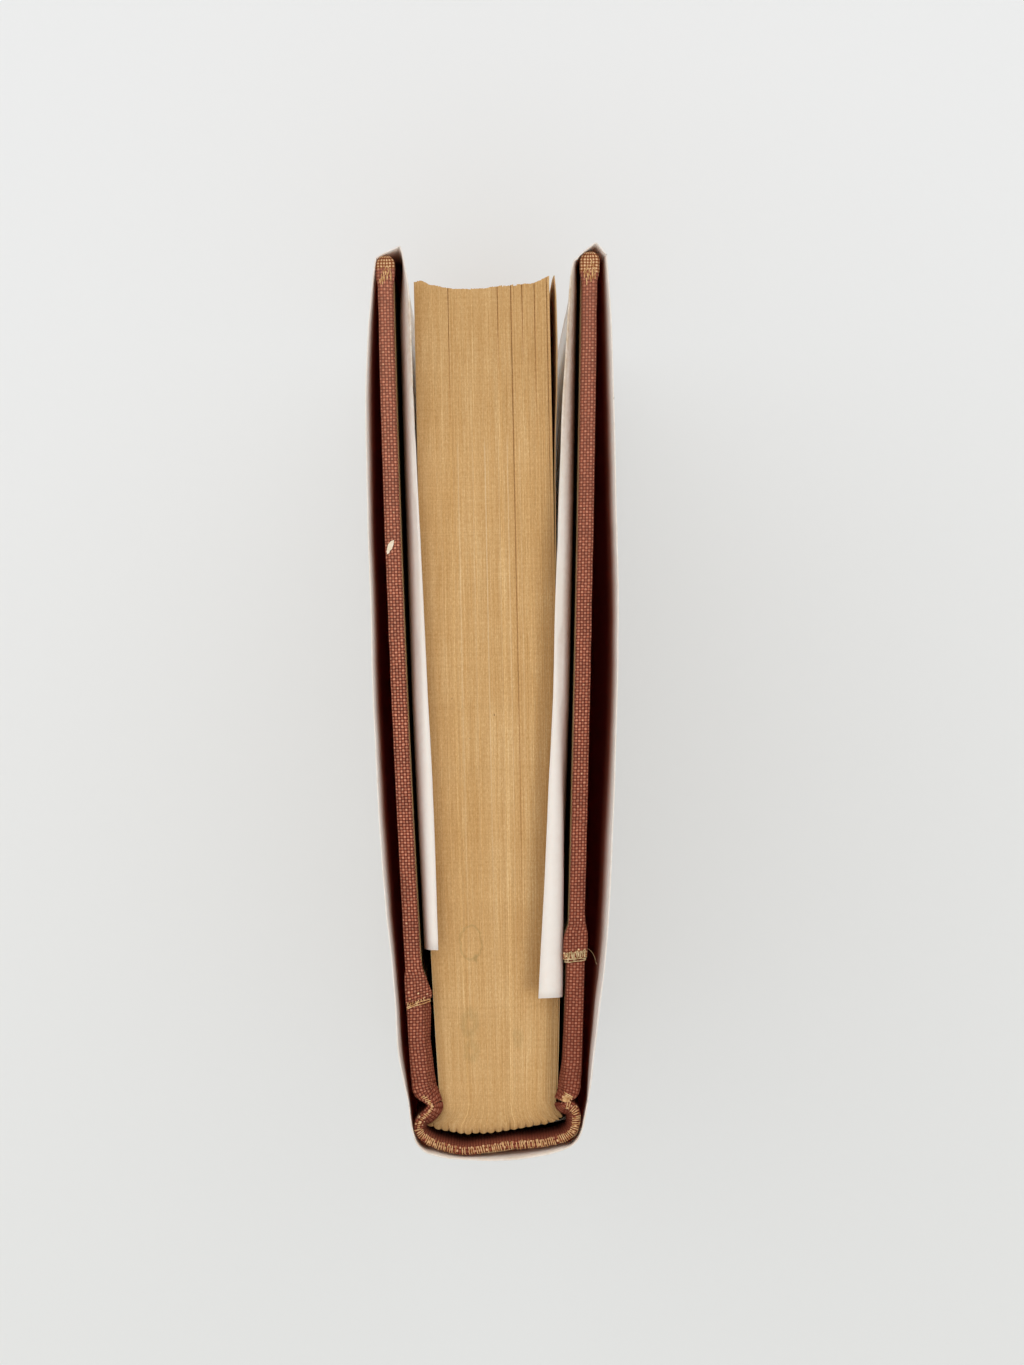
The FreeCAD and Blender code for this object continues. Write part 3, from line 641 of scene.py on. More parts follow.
pages = {
    "half": 10.9, "waist": 9.35, "shoulder": 11.85,       # half thickness: fore edge, waist, shoulders
    "taperY": 10.0, "waistY": -64.4, "shoulderY": -67.9,
    "leaves": 120,                                        # strips across, two real leaves each
    "rows": 84,
    # the guillotined fore edge, slumped into a hollow: x, y
    "foreEdge": [(-10.95, 68.3), (-9.8, 68.45), (-8.4, 67.75), (-5.8, 67.25), (-4.4, 67.05), (0.5, 66.95),
                 (2.1, 67.3), (4.5, 67.45), (6.1, 67.5), (7.8, 67.7), (9.4, 68.2), (10.9, 68.8)],
    "backLine": [(-12.0, -68.1), (-9.5, -69.05), (-5.5, -69.78), (-1.5, -69.7), (3.4, -69.15),
                 (8.3, -68.3), (12.0, -67.25)],
    "sections": 19, "scallop": 0.26,
    "paleLeaves": [(-4.5, 0.35), (-2.2, 0.2), (-0.1, 0.5), (0.4, 0.25), (2.0, 0.2), (3.5, 0.35),
                   (5.5, 0.2), (-7.4, 0.2)],
    # how unevenly the leaves lie at the fore edge and at the head, one by one and in groups
    "foreStep": 0.05, "headStep": 0.035, "groupChance": 0.16, "groupStep": 0.1,
    "slitDrop": 0.3,
    # painted shadow of the flaps on the pages, at the back and at the front: how wide and how strong
    "flapShadow": [(1.8, 0.14), (3.6, 0.34)],
    # edge of the flap that lies over the pages there: y, distance from the middle
    "besideFlap": [[(-39.8, 9.2), (-15.6, 9.55), (0.5, 10.05), (18.3, 10.55), (43.0, 11.3)],
                   [(-47.9, 6.75), (-32.1, 7.9), (-16.0, 8.95), (0.1, 10.1), (16.2, 10.85),
                    (43.6, 12.3)]],
    # gaps between leaf groups at the fore edge: x there, how far they run back, how dark their painted
    # shade is
    "slits": [(-5.65, 26.0, 0.6), (2.3, 20.0, 0.4), (4.6, 150.0, 0.8), (6.3, 16.0, 0.35),
              (8.4, 30.0, 0.4), (10.35, 90.0, 0.7)],
}


def pagesHalf(y):
    share = clamp((pages["taperY"] - y) / (pages["taperY"] - pages["waistY"]))
    half = pages["half"] - (pages["half"] - pages["waist"]) * share ** 2.5
    if y < pages["waistY"]:
        drop = clamp((y - pages["waistY"]) / (pages["shoulderY"] - pages["waistY"]))
        half = pages["waist"] + (pages["shoulder"] - pages["waist"]) * (1 - math.sqrt(1 - drop * drop))
    return half


def makePages():
    rng = random.Random(7)
    count = pages["leaves"]
    foreStep = [rng.uniform(-pages["foreStep"], pages["foreStep"]) for _ in range(count)]
    headStep = [rng.uniform(-pages["headStep"], pages["headStep"]) for _ in range(count)]
    group = 0.0
    for i in range(count):          # leaves move in small groups
        if rng.random() < pages["groupChance"]:
            group = rng.uniform(-pages["groupStep"], pages["groupStep"])
        foreStep[i] += group
        headStep[i] += group * 0.3
    sectionSize = [rng.uniform(0.6, 1.25) for _ in range(pages["sections"])]
    sectionSlit = [rng.random() ** 2 for _ in range(pages["sections"])]
    slitLeaf = {}
    for x, run, dark in pages["slits"]:
        slitLeaf[round((x / pages["half"] + 1) / 2 * count)] = (run, dark)
    paleLeaf = {round((x / pages["half"] + 1) / 2 * count): pale for x, pale in pages["paleLeaves"]}
    bm = bmesh.new()
    columns = count * 3             # each leaf has two shoulders and a groove
    bmesh.ops.create_grid(bm, x_segments=columns, y_segments=pages["rows"], size=1)
    uvs = bm.loops.layers.uv.new("threads")
    worn = bm.verts.layers.float.new("worn")
    spots = {}
    for vert in bm.verts:
        column = round((vert.co.x + 1) / 2 * columns)
        t = (vert.co.y + 1) / 2
        leaf = min(column // 3, count - 1)
        part = column - leaf * 3    # 0 groove, 1 and 2 the leaf, 3 only at the very end
        f = {0: leaf, 1: leaf + 0.12, 2: leaf + 0.88, 3: leaf + 1.0}[part] / count * 2 - 1
        fore = between(pages["foreEdge"], f * pages["half"]) + foreStep[leaf]
        back = between(pages["backLine"], f * pages["shoulder"])
        place = (f + 1) / 2 * pages["sections"] % 1.0
        section = int((f + 1) / 2 * pages["sections"] * 0.9999)
        back -= pages["scallop"] * (1 - (2 * place - 1) ** 2) * sectionSize[section] - 0.1
        y = mix(back, fore, t ** 1.25)
        groove = part in (0, 3)
        z = headStep[leaf]
        dark = 0.0
        run, depth = slitLeaf.get(leaf, (0, 0)) if part < 2 else (0, 0)
        if run:
            share = clamp((fore - y) / run)
            # painted shade in the slit, deepest at the fore edge, where the leaves also drop
            dark = depth * (1 - share) ** 0.5 * (0.3 + 0.4 * noise.noise(Vector((leaf, y * 0.12, 4.0))))
            z -= pages["slitDrop"] * (1 - share)
        elif leaf in paleLeaf and not groove:
            dark = -paleLeaf[leaf] * clamp(1.1 - abs(y - 30) / 90)
        elif groove:
            z -= 0.05
            # painted shade in the groove between leaves, darker at some
            dark = 0.08
            if noise.noise(Vector((leaf * 3.7, y * 0.05, 0))) > 0.28:
                dark = 0.3
        border = min(place, 1 - place)
        reach = 0.6 + 2.6 * sectionSlit[section]
        nearBack = clamp((y - back) / reach)
        if border < 0.1:
            z -= 0.35 * (1 - nearBack) ** 2 * (1 - border / 0.1)
            # painted shade where two sections meet, towards the back
            dark = max(dark, (0.25 + 0.35 * sectionSlit[section]) * (1 - nearBack) ** 2)
        z -= 0.12 * clamp(1 - (y - back) / 3.0) ** 3
        # darker along the flanks towards the back, and in the shoulders: partly browning, partly painted
        # shade beside the cloth
        flank = clamp((abs(f) - (0.72 if f > 0 else 0.84)) / 0.2)
        browned = max(flank * (0.46 if f > 0 else 0.28) * clamp((15 - y) / 55),
                      0.6 * clamp((abs(f) - 0.55) / 0.45) * clamp(1 - (y - back) / 4.0))
        beside = between(pages["besideFlap"][f > 0], y) - abs(f) * pagesHalf(y)
        wide, deep = pages["flapShadow"][f > 0]
        # painted shadow of the flap, in a band beside its edge over the pages
        if -60 < y < 45:
            ends = clamp((y + 47.9) / 2 if f > 0 else (y + 39.8) / 2) * clamp((45 - y) / 20)
            browned = max(browned, deep * ease((wide - beside) / wide * 1.6) * ends)
        browned = max(browned, 0.07 * ease((y - 36) / 24))
        dark = max(dark, browned) if browned > 0.01 else dark
        # painted shade along the back edge of the pages, where they meet the cap
        dark = max(dark, 0.35 * clamp(1 - (y - back) / 0.8)) if y < back + 0.8 else dark
        z += 0.05 * noise.noise(Vector((f * 3, y * 0.03, 1.0)))
        x = f * pagesHalf(y)
        vert[worn] = dark
        spots[vert] = (f * pages["half"], y)
        vert.co = (x * 0.001, y * 0.001, (book["pagesHead"] + z - 0.1) * 0.001)
    top = list(bm.faces)
    for face in top:
        for loop in face.loops:
            loop[uvs].uv = (spots[loop.vert][0] * 0.001, spots[loop.vert][1] * 0.001)
    made = bmesh.ops.extrude_face_region(bm, geom=top)["geom"]
    moved = [g for g in made if isinstance(g, bmesh.types.BMVert)]
    middle = (book["pagesHead"] + book["pagesTail"]) * 0.001
    for vert in moved:
        vert.co.z = middle - vert.co.z
    bmesh.ops.recalc_face_normals(bm, faces=bm.faces)
    for face in bm.faces:
        if abs(face.normal.z) < 0.5:       # the walls: the leaves' edges run up and down
            for loop in face.loops:
                co = loop.vert.co
                loop[uvs].uv = (co.x if abs(face.normal.y) > 0.7 else co.y, co.z)
    return finishPiece("pages", bm, pagesLook, "book_block", ("text_block",))


makePages()
print("pages made")


# cloth on the boards

board = {
    "half": 1.25,            # half the thickness of a covered board
    "edgeRound": 0.6,        # radius of its long edges
    "turnIn": 15.0,
    "cloth": 0.3,
    "lapWidth": 4.0, "lapRamp": 1.6, "lapRise": 0.25,
    "bulkDeep": 6.0,         # the folded corners bulge this far below the head and above the tail
    "tipBulge": 0.36, "tipReach": 0.4,
    "rows": 230, "edgeSteps": 6,
}

# how the cloth bulges at the head beside its lap: y and mm, towards the pages and away
laps = {
    "front": {"inner": [(-41.6, 0.62), (-38.6, 0.60), (-36.6, 0.18), (-34.4, 0.0)],
              "outer": [(-41.6, 0.30), (-38.8, 0.36), (-36.8, 0.22), (-34.4, 0.0)],
              "slant": 0.12, "tipWorn": 4.0, "edgeWorn": 0.6},
    "back": {"inner": [(-48.3, 1.25), (-47.4, 1.38), (-46.2, 1.05), (-44.0, 0.48), (-41.0, 0.12),
                       (-38.0, 0.0)],
             "outer": [(-48.3, 0.0), (-40.0, 0.0)],
             "slant": -0.5, "tipWorn": 3.0, "edgeWorn": 0.3},
}


def wrapProfile(half, bottom, top, radius, steps):
    # once round a board from its inner face: (offset from the middle plane, height)
    turns = []
    corners = ((-half + radius, top - radius, 180), (half - radius, top - radius, 90),
               (half - radius, bottom + radius, 0), (-half + radius, bottom + radius, -90))
    for centreA, centreZ, start in corners:
        for i in range(steps + 1):
            angle = math.radians(start - 90 * i / steps)
            turns.append((centreA + radius * math.cos(angle), centreZ + radius * math.sin(angle)))
    corner = steps + 1
    faces = []
    for k in range(4):
        run = turns[k * corner:(k + 1) * corner]
        after = turns[((k + 1) * corner) % len(turns)]
        faces += run
        if k in (0, 2):
            faces.append(((run[-1][0] + after[0]) / 2, run[-1][1]))
        if k == 1:
            faces += [(run[-1][0], mix(run[-1][1], after[1], share))
                      for share in (0.05, 0.15, 0.4, 0.6, 0.85, 0.95)]
        if k == 3:
            low, high = run[-1][1], after[1]
            faces += [(run[-1][0], z) for z in (low + 5, bottom + board["turnIn"] - 0.01,
                                                bottom + board["turnIn"] + 0.01, (low + high) / 2,
                                                top - board["turnIn"] - 0.01, top - board["turnIn"] + 0.01,
                                                high - 5)]
    return faces + [faces[0]]


def profileLength(profile):
    lengths = [0.0]
    for a, b in zip(profile, profile[1:]):
        lengths.append(lengths[-1] + math.dist(a, b))
    return lengths


def sideClothPiece(name, cover):
    side = cover["side"]
    startY, endY = cover["lapY"], book["boardForeY"]
    lapEnd = startY + board["lapWidth"]
    rows = board["rows"]
    capRows = 10

    def rowAt(i):
        # y and the share of the full thickness: the last rows close the fore edge round
        if i <= rows - capRows:
            return mix(startY, endY - board["half"], i / (rows - capRows)), 1.0
        angle = math.pi / 2 * (i - rows + capRows) / capRows
        return endY - board["half"] + board["half"] * math.sin(angle), max(math.cos(angle), 0.0)

    bulges = laps["front" if side > 0 else "back"]
    across = len(wrapProfile(1.0, 0.0, 1.0, 0.25, board["edgeSteps"])) - 1

    def place(s, t):
        i = round(t * rows)
        j = round(s * across)
        y, share = rowAt(i)
        lap = 1 - ease((y - lapEnd) / board["lapRamp"])
        thick = board["half"] + board["lapRise"] * lap - board["cloth"] / 2
        top = book["boardHead"] - board["cloth"] / 2
        top += 0.06 * noise.noise(Vector((y * 0.11, side * 3.0, 0)))
        radius = min(board["edgeRound"], thick)
        profile = wrapProfile(thick, board["cloth"] / 2, top, radius, board["edgeSteps"])
        offset, z = profile[j]
        flat = offset
        lengths = profileLength(profile)
        ends = ease(1 - (top - z) / board["bulkDeep"]) + ease(1 - z / board["bulkDeep"])
        bulk = between(bulges["inner" if offset < 0 else "outer"], y)
        bulk += board["tipBulge"] * ease((y - 67.0) / 2.2)
        offset += math.copysign(bulk * ends * clamp(abs(offset) / (thick * 0.6)), offset)
        spread = offset - flat
        offset *= share
        reach = board["tipReach"] * ends * ease((y - 66.0) / 4.0)
        if share < 1.0:
            # the corners at head and tail draw in with the rounded fore edge
            pull = (1 - math.sqrt(max(share, 0.0))) * 0.7
            z = clamp(z, board["cloth"] / 2 + pull, top - pull)
        slope = bulges["slant"] * offset / 1.5 * clamp(1 - i / 8)
        jog = slope + (0.14 * noise.noise(Vector((offset * 1.9, z * 0.4, side * 5))) if i == 0 else 0.0)
        lump = 0.05 * noise.noise(Vector((y * 0.25, z * 0.05, offset)))
        x = side * (boardMiddle(cover, y) + offset + (lump if offset > 0 else -lump))
        worn = bulges["tipWorn"] + 1.0 * noise.noise(Vector((offset * 0.9, z, 2)))
        tip = ease((y - (endY - worn)) / 1.6)
        wear = 0.85 * tip * clamp(ends * 2 - 1) + 0.25 * tip
        edge = clamp(1 - abs(z - top) / 0.5) + clamp(1 - abs(z - 0.15) / 0.5)
        wear = max(wear, 0.10 + 0.08 * edge)
        rubbed = clamp(1 - math.hypot((y - startY - 1.5) / 1.2, (offset - 0.5) / 1.2)) * clamp(ends * 3 - 2)
        wear = max(wear, 0.3 * rubbed + 0.1)
        if i <= 2:
            wear = max(wear, bulges["edgeWorn"])
        return x, y + jog + reach, z, lengths[j] + spread, y, wear

    def window(centre):
        inner = side * centre.x < boardMiddle(cover, centre.y) - board["half"] + 0.35
        high = board["turnIn"] < centre.z < book["boardHead"] - board["turnIn"]
        return inner and high and centre.y < endY - board["turnIn"]

    return gridPiece(name, across, rows, place, sideClothLook, cover["body"],
                     (name.replace("Cloth", "").replace("side", "").lower() + "_side_cloth",),
                     closed=True, thickness=board["cloth"], drop=window)


for coverName, cover in covers.items():
    sideClothPiece("sideCloth" + coverName.capitalize(), cover)
print("side cloth made")


# cloth over the spine and joints

spine = {
    # middle of the folded cloth at the head, from groove to groove: x, y
    "line": [(-10.7, -64.8), (-10.75, -65.35), (-11.6, -66.35), (-12.6, -67.2), (-12.95, -68.2),
             (-12.85, -69.1), (-12.0, -70.1), (-10.0, -71.2), (-7.6, -71.95), (-5.3, -72.3),
             (-1.8, -72.0), (1.7, -71.6), (6.5, -71.3), (9.8, -70.75), (11.5, -69.9), (12.25, -68.8),
             (12.5, -67.4), (12.4, -66.4), (11.75, -65.55), (10.9, -65.15), (10.7, -64.8)],
    "half": 0.75,            # half the thickness of the folded edge
    "cloth": 0.45,
    "turnIn": 15.0,
    "roll": 0.55, "rollDeep": 16.0,     # how far the turned-in cloth swells inwards below the head
    "steps": 200, "edgeSteps": 10,
}


# the wings of the spine cloth on the boards, and how they pass under the pastedown (mm)
wing = {"steps": 120, "jointSteps": 36, "cloth": 0.45, "rollDeep": 3.4,
        "grooveX": 9.95, "pasteClear": 0.42, "pasteFromHead": 3.0}


def foldProfile(half, bottom, top, turnIn, roll=0.0, rollDeep=9.0):
    # the cloth's middle line, from the inner turned-in end over the head, down and under
    low, high = bottom + half, top - half
    depths = (0.3, 0.7, 1.1, 1.6, 2.1, 2.7, 3.3, 4.2, 5.4, 6.8, 8.2, 10.0, 12.0, turnIn)
    swell = [half + roll * math.sin(math.pi * min(d / rollDeep, 1.0)) for d in depths]
    points = [(w, high - d) for w, d in reversed(list(zip(swell, depths)))]
    steps = spine["edgeSteps"]
    for i in range(steps + 1):
        angle = math.pi * i / steps
        points.append((half * math.cos(angle), high + half * math.sin(angle)))
    for share in (0.03, 0.1, 0.3, 0.5, 0.7, 0.9, 0.97):
        points.append((-half, mix(high, low, share)))
    for i in range(steps + 1):
        angle = math.pi + math.pi * i / steps
        points.append((half * math.cos(angle), low + half * math.sin(angle)))
    return points + [(w, low + d) for w, d in zip(swell, depths)]


def normalAt(points, share):
    a = alongPoints(points, max(share - 0.002, 0))
    b = alongPoints(points, min(share + 0.002, 1))
    return sideways(a, b)                 # towards the pages on the spine line


def makeSpineCloth():
    line, steps = spine["line"], spine["steps"]
    places = [alongPoints(line, i / steps) for i in range(steps + 1)]
    run = profileLength(places)
    half = spine["half"] - spine["cloth"] / 2

    def place(s, t):
        i = round(t * steps)
        x, y = places[i]
        nx, ny = normalAt(line, i / steps)
        top = book["capHead"] - spine["cloth"] / 2
        top += 0.10 * noise.noise(Vector((run[i] * 0.35, 4.0, 0)))
        middle = clamp(min(run[i] - 1.5, run[-1] - run[i] - 1.5) / 6)
        roll = mix(1.0, spine["roll"], middle)
        rollDeep = mix(wing["rollDeep"], spine["rollDeep"], middle)
        profile = foldProfile(half, spine["cloth"] / 2, top, spine["turnIn"], roll, rollDeep)
        j = round(s * (len(profile) - 1))
        offset, z = profile[j]
        lengths = profileLength(profile)
        sag = 0.06 * noise.noise(Vector((run[i] * 0.4, z * 0.1, 7)))
        crest = ease((z - (top - 0.8)) / 0.6)
        foot = ease((1.0 - z) / 0.6)
        patchy = 0.22 + 0.3 * noise.noise(Vector((run[i] * 0.45, 2.0, 11)))
        wear = 0.12 + patchy * crest + 0.3 * foot
        if i < 24:
            wear = 0.12 + (0.55 * crest * clamp(1 - abs(offset) / 0.35)) + 0.3 * foot
        x += nx * (offset + sag)
        y += ny * (offset + sag)
        return x, y, z, run[i], lengths[j], wear

    count = len(foldProfile(half, 0, 209, spine["turnIn"])) - 1
    return gridPiece("spineCloth", count, steps, place, spineClothLook, "book_block",
                     ("spine_cloth",), thickness=spine["cloth"])


makeSpineCloth()


# the wing of the spine cloth: out of the groove, round the board's edge and on to the lap
wings = {
    "front": {
        "middle": [(10.7, -64.8), (10.85, -64.45), (11.2, -63.95), (11.65, -63.3), (11.9, -62.4)],
        "halves": [0.75, 0.78, 1.0, 1.32, 1.45],
        "roll": [(-64.8, 1.0), (-62.8, 0.8), (-58.0, 0.3), (-50.0, 0.15), (-38.0, 0.1)],
    },
    "back": {
        "middle": [(10.7, -64.8), (10.95, -64.3), (11.6, -63.5), (12.25, -62.7), (12.5, -61.8)],
        "halves": [0.75, 0.8, 1.1, 1.38, 1.45],
        "roll": [(-64.8, 1.0), (-63.5, 1.25), (-60.7, 1.0), (-54.3, 0.65), (-49.4, 1.05), (-44.0, 0.6)],
    },
}


def makeWing(name, coverName):
    cover, shape = covers[coverName], wings[coverName]
    side = cover["side"]
    steps, jointSteps = wing["steps"], wing["jointSteps"]
    endY = cover["lapY"] + board["lapWidth"]
    paste = cover["endX"] - 0.95 - 0.5 - 0.15      # the pastedown's open face beside the joint
    joint = [(x, y, h) for (x, y), h in zip(shape["middle"], shape["halves"])]
    startY = joint[-1][1]
    stations = [alongPoints(joint, i / jointSteps) for i in range(jointSteps + 1)]
    for i in range(1, steps - jointSteps + 1):
        y = mix(startY, endY, i / (steps - jointSteps))
        stations.append((boardMiddle(cover, y), y, joint[-1][2]))
    settle = jointSteps                      # the middle line eases onto the board's own
    run = profileLength([(x, y) for x, y, h in stations])
    count = len(foldProfile(1, 0, 209, spine["turnIn"])) - 1

    def place(s, t):
        i = round(t * steps)
        x, y, half = stations[i]
        if i > settle:
            x = mix(joint[-1][0], x, ease((i - settle) / 10)) if i - settle < 10 else x
        before, after = stations[max(i - 1, 0)], stations[min(i + 1, steps)]
        nx, ny = sideways(before, after)     # towards the pages
        half -= wing["cloth"] / 2
        top = book["capHead"] - wing["cloth"] / 2 + 0.06 * noise.noise(Vector((run[i] * 0.3, side * 9, 0)))
        profile = wingProfile(half, top, between(shape["roll"], y))
        j = round(s * (len(profile) - 1))
        offset, z = profile[j]
        lengths = profileLength(profile)
        crest = ease((z - (top - 0.9)) / 0.6)
        foot = ease((0.9 - z) / 0.6)
        if offset > 0 and y > -64.8:
            limit = mix(wing["grooveX"], paste + wing["pasteClear"], ease((y + 64.8) / 0.35))
            if x + nx * offset < limit:
                away = wing["pasteFromHead"]
                under = clamp((top - away - z) / 0.8) * clamp((z - away) / 0.8)
                offset = mix(offset, max((x - limit) / -nx, 0.0), under)
        worn = clamp(1 - (run[i] - 0.6) / 1.3)
        near = clamp(1 - abs(offset + 0.15) / 0.5) if side < 0 else 1.0
        wear = 0.12 + 0.55 * crest * worn * near + 0.3 * foot * worn
        return side * (x + nx * offset), y + ny * offset, z, run[i], lengths[j], wear

    return gridPiece(name, count, steps, place, spineClothLook, None,
                     (coverName + "_joint_cloth",), thickness=wing["cloth"])


def wingProfile(half, top, roll):
    # the same count of points as foldProfile, with edges no rounder than the board's
    radius = min(half, 0.75)
    flat = half - radius
    points = []
    for offset, z in foldProfile(radius, wing["cloth"] / 2, top, spine["turnIn"], roll,
                                 wing["rollDeep"]):
        points.append((offset + math.copysign(flat, offset) * clamp(abs(offset) / radius * 3), z))
    return points


for coverName, cover in covers.items():
    piece = makeWing("jointCloth" + coverName.capitalize(), coverName)
    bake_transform(piece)
print("spine cloth made")


# paper jacket

jacket = {
    "thickness": 0.2,
    # the flare goes in two steps: its share that is gone soon below the head, how soon, and
    # how far down the rest goes (mm)
    "panelNear": 5.5, "panelFar": 28.0,
    "flapFar": 30.0,
    "backNear": 3.0, "backFar": 14.0, "backShare": 0.8,
    "rows": 72, "steps": 170,
    "curlClear": 0.45,       # over the pages' head
}

# each list runs along the jacket: at the head edge, and where it lies close to the board
jackets = {
    "front": {
        "crease": 0.3,
        # y, and the share of the panel's flare, the share of the flap's, how soon the flap's goes
        "flare": [(-64.0, 0.6, 0.8, 3.8), (-24.0, 0.4, 0.8, 3.4), (0.0, 0.08, 0.85, 2.5),
                  (15.0, 0.14, 0.86, 2.4), (32.0, 0.36, 0.86, 2.7), (60.0, 0.6, 0.79, 3.4)],
        "head": [(14.4, -64.78), (15.35, -58.1), (16.65, -48.4), (17.75, -40.4), (18.9, -27.5),
                 (20.0, -8.1), (20.65, 4.8), (20.9, 16.0), (20.95, 30.0), (20.9, 43.5), (20.65, 61.2),
                 (20.25, 70.6), (20.1, 71.75), (19.75, 72.2), (18.8, 73.4), (18.4, 73.6), (17.9, 73.3),
                 (16.3, 72.1), (15.5, 71.3), (14.4, 69.1), (13.3, 56.5), (12.3, 43.6), (10.85, 16.2),
                 (10.1, 0.1), (8.95, -16.0), (7.9, -32.1), (6.75, -47.9)],
        "low": [(14.4, -64.78), (14.75, -58.1), (15.35, -48.4), (15.95, -40.4), (16.85, -27.5),
                (17.9, -8.1), (18.45, 4.8), (18.8, 16.0), (19.1, 30.0), (19.2, 43.5), (19.25, 61.2),
                (19.45, 70.2), (19.35, 71.3), (19.1, 71.7), (18.5, 72.5), (18.2, 72.65), (17.7, 72.6),
                (16.4, 72.3), (15.6, 71.6)],
    },
    "back": {
        "crease": 0.2,
        "flare": [(-64.0, 0.66, 0.87, 2.3), (-24.0, 0.66, 0.87, 2.3), (0.0, 0.5, 0.85, 2.5),
                  (32.0, 0.58, 0.76, 3.9), (60.0, 0.6, 0.74, 4.2)],
        "head": [(14.4, -64.78), (15.9, -55.8), (16.15, -47.8), (16.75, -39.7), (17.55, -31.6),
                 (18.35, -15.4), (18.85, 0.7), (19.0, 16.8), (19.1, 33.0), (19.1, 49.1), (18.0, 65.2),
                 (17.2, 71.2), (16.8, 72.0), (16.2, 72.4), (13.6, 73.5), (13.2, 73.65), (13.0, 73.3),
                 (12.6, 71.8), (11.7, 65.4), (11.55, 54.4), (11.3, 43.0), (11.0, 32.8), (10.55, 18.3),
                 (10.05, 0.5), (9.55, -15.6), (9.2, -39.8)],
        "low": [(14.4, -64.78), (15.1, -55.8), (15.45, -47.8), (15.85, -39.7), (16.3, -31.6),
                (17.1, -15.4), (17.6, 0.7), (17.85, 16.8), (17.95, 33.0), (17.85, 49.1), (17.35, 65.2),
                (17.0, 71.0), (16.7, 71.8), (16.2, 72.2), (14.2, 72.75), (13.8, 72.7), (13.4, 72.4),
                (13.0, 71.6)],
    },
}


def flapRest(cover, y):
    # the flap lies beside the pastedown, and follows the cloth's steps under it
    lapEnd = cover["lapY"] + board["lapWidth"]
    lap = ease((lapEnd + board["lapRamp"] + 0.8 - y) / board["lapRamp"])
    if y > cover["lapY"] - 1.5:
        under = mix(0.3, 0.8, lap)
    else:
        under = mix(0.5, 0.8, ease((y - cover["lapY"] + 3) / 1.5))
    return boardMiddle(cover, y) - 0.95 - under - 0.15 - 0.27      # board, cloth, pastedown and air


def pageLimit(coverName, y):
    lift = 0.75 * ease((y - 18) / 29) if coverName == "front" else 0.0
    return pagesHalf(max(y, -64.4)) + 0.15 + lift + 0.42


def fading(down, share, near, far):
    return share * math.exp(-down / near) + (1 - share) * math.exp(-down / far)


def makeJacket(name, coverName):
    cover, lines = covers[coverName], jackets[coverName]
    side = cover["side"]
    head = lines["head"]
    flapCount = len(head) - len(lines["low"])
    low = lines["low"] + [(flapRest(cover, y), y) for x, y in head[-flapCount:]]
    flapShare = len(lines["low"]) / (len(head) - 1)
    steps, rows = jacket["steps"], jacket["rows"]
    tops = [alongPoints(head, i / steps) for i in range(steps + 1)]
    lows = [alongPoints(low, i / steps) for i in range(steps + 1)]
    run = profileLength(tops)
    curlZ = book["pagesHead"] + jacket["curlClear"]
    full = book["jacketHead"]

    def heightAt(t):
        return full * (1 - (1 - t) ** 1.5)     # rows closer together towards the head

    def across(i, z):
        onFlap = clamp((i / steps - flapShare) / 0.02 + 0.5)
        down = full - z
        y = tops[i][1]
        panelShare, flapShareHere, flapNear = (between([(row[0], row[k]) for row in lines["flare"]], y)
                                               for k in (1, 2, 3))
        rise = mix(fading(down, panelShare, jacket["panelNear"], jacket["panelFar"]),
                   fading(down, flapShareHere, flapNear, jacket["flapFar"]), onFlap)
        return mix(lows[i][0], tops[i][0], rise), mix(lows[i][1], tops[i][1], rise), onFlap

    def place(s, t):
        i = round(s * steps)
        z = heightAt(t)
        x, y, onFlap = across(i, z)
        if onFlap > 0.9:
            limit = pageLimit(coverName, y)
            if z < curlZ:
                x = max(x, limit)
            elif x < limit:
                # over the pages the head of the flap curls in on an arc
                deep = (z - curlZ) / (full - curlZ)
                lean = max(tops[i][0], 0.0)
                x = mix(limit, lean, 1 - math.sqrt(max(1 - deep * deep, 0.0)) if deep < 1 else 1.0)
                z = curlZ + (full - curlZ) * deep ** 0.8 * 0.85
        ripple = 0.12 * noise.noise(Vector((run[i] * 0.06, z * 0.012, side * 2.0 + 9)))
        ripple += 0.05 * noise.noise(Vector((run[i] * 0.3, z * 0.05, side * 4.0)))
        ripple *= clamp((y + 64.7) / 6)
        if onFlap > 0.5:
            ripple *= 0.5
        down = full - z
        if not onFlap:           # the head is creased beside the joint
            crease = math.sin(2 * math.pi * down / 5.0) * math.exp(-down / 9)
            x += lines["crease"] * crease * clamp((-36 - y) / 12) * clamp((y + 64.7) / 4)
        nick = 0.0
        if t > 0.999:
            nick = 0.10 * noise.noise(Vector((run[i] * 0.5, 1.0, side)))
            nick += 0.04 * noise.noise(Vector((run[i] * 2.1, 5.0, side)))
        edge = clamp(1 - (full - z) / 0.8)
        foreFlap = onFlap * clamp((y - 30) / 30) * clamp(1 - (full - z) / 8)
        wear = 0.1 + 0.55 * edge + (1.0 if side > 0 else 0.8) * foreFlap
        # painted light thrown from the pages: tan on the front flap below the head, where it faces them
        if side > 0:
            wear += 1.5 * onFlap * clamp((y + 8) / 30) * clamp((down - 0.8) / 5) * clamp(2 - down / 30)
        return side * (x + ripple), y, z + min(nick, 0.0), run[i], z, wear

    return gridPiece(name, steps, rows, place, jacketLook, None,
                     (coverName + "_jacket",), thickness=jacket["thickness"],
                     facing=((side * 18, 0, 100), (side, 0, 0)), reverse=jacketReverseLook)


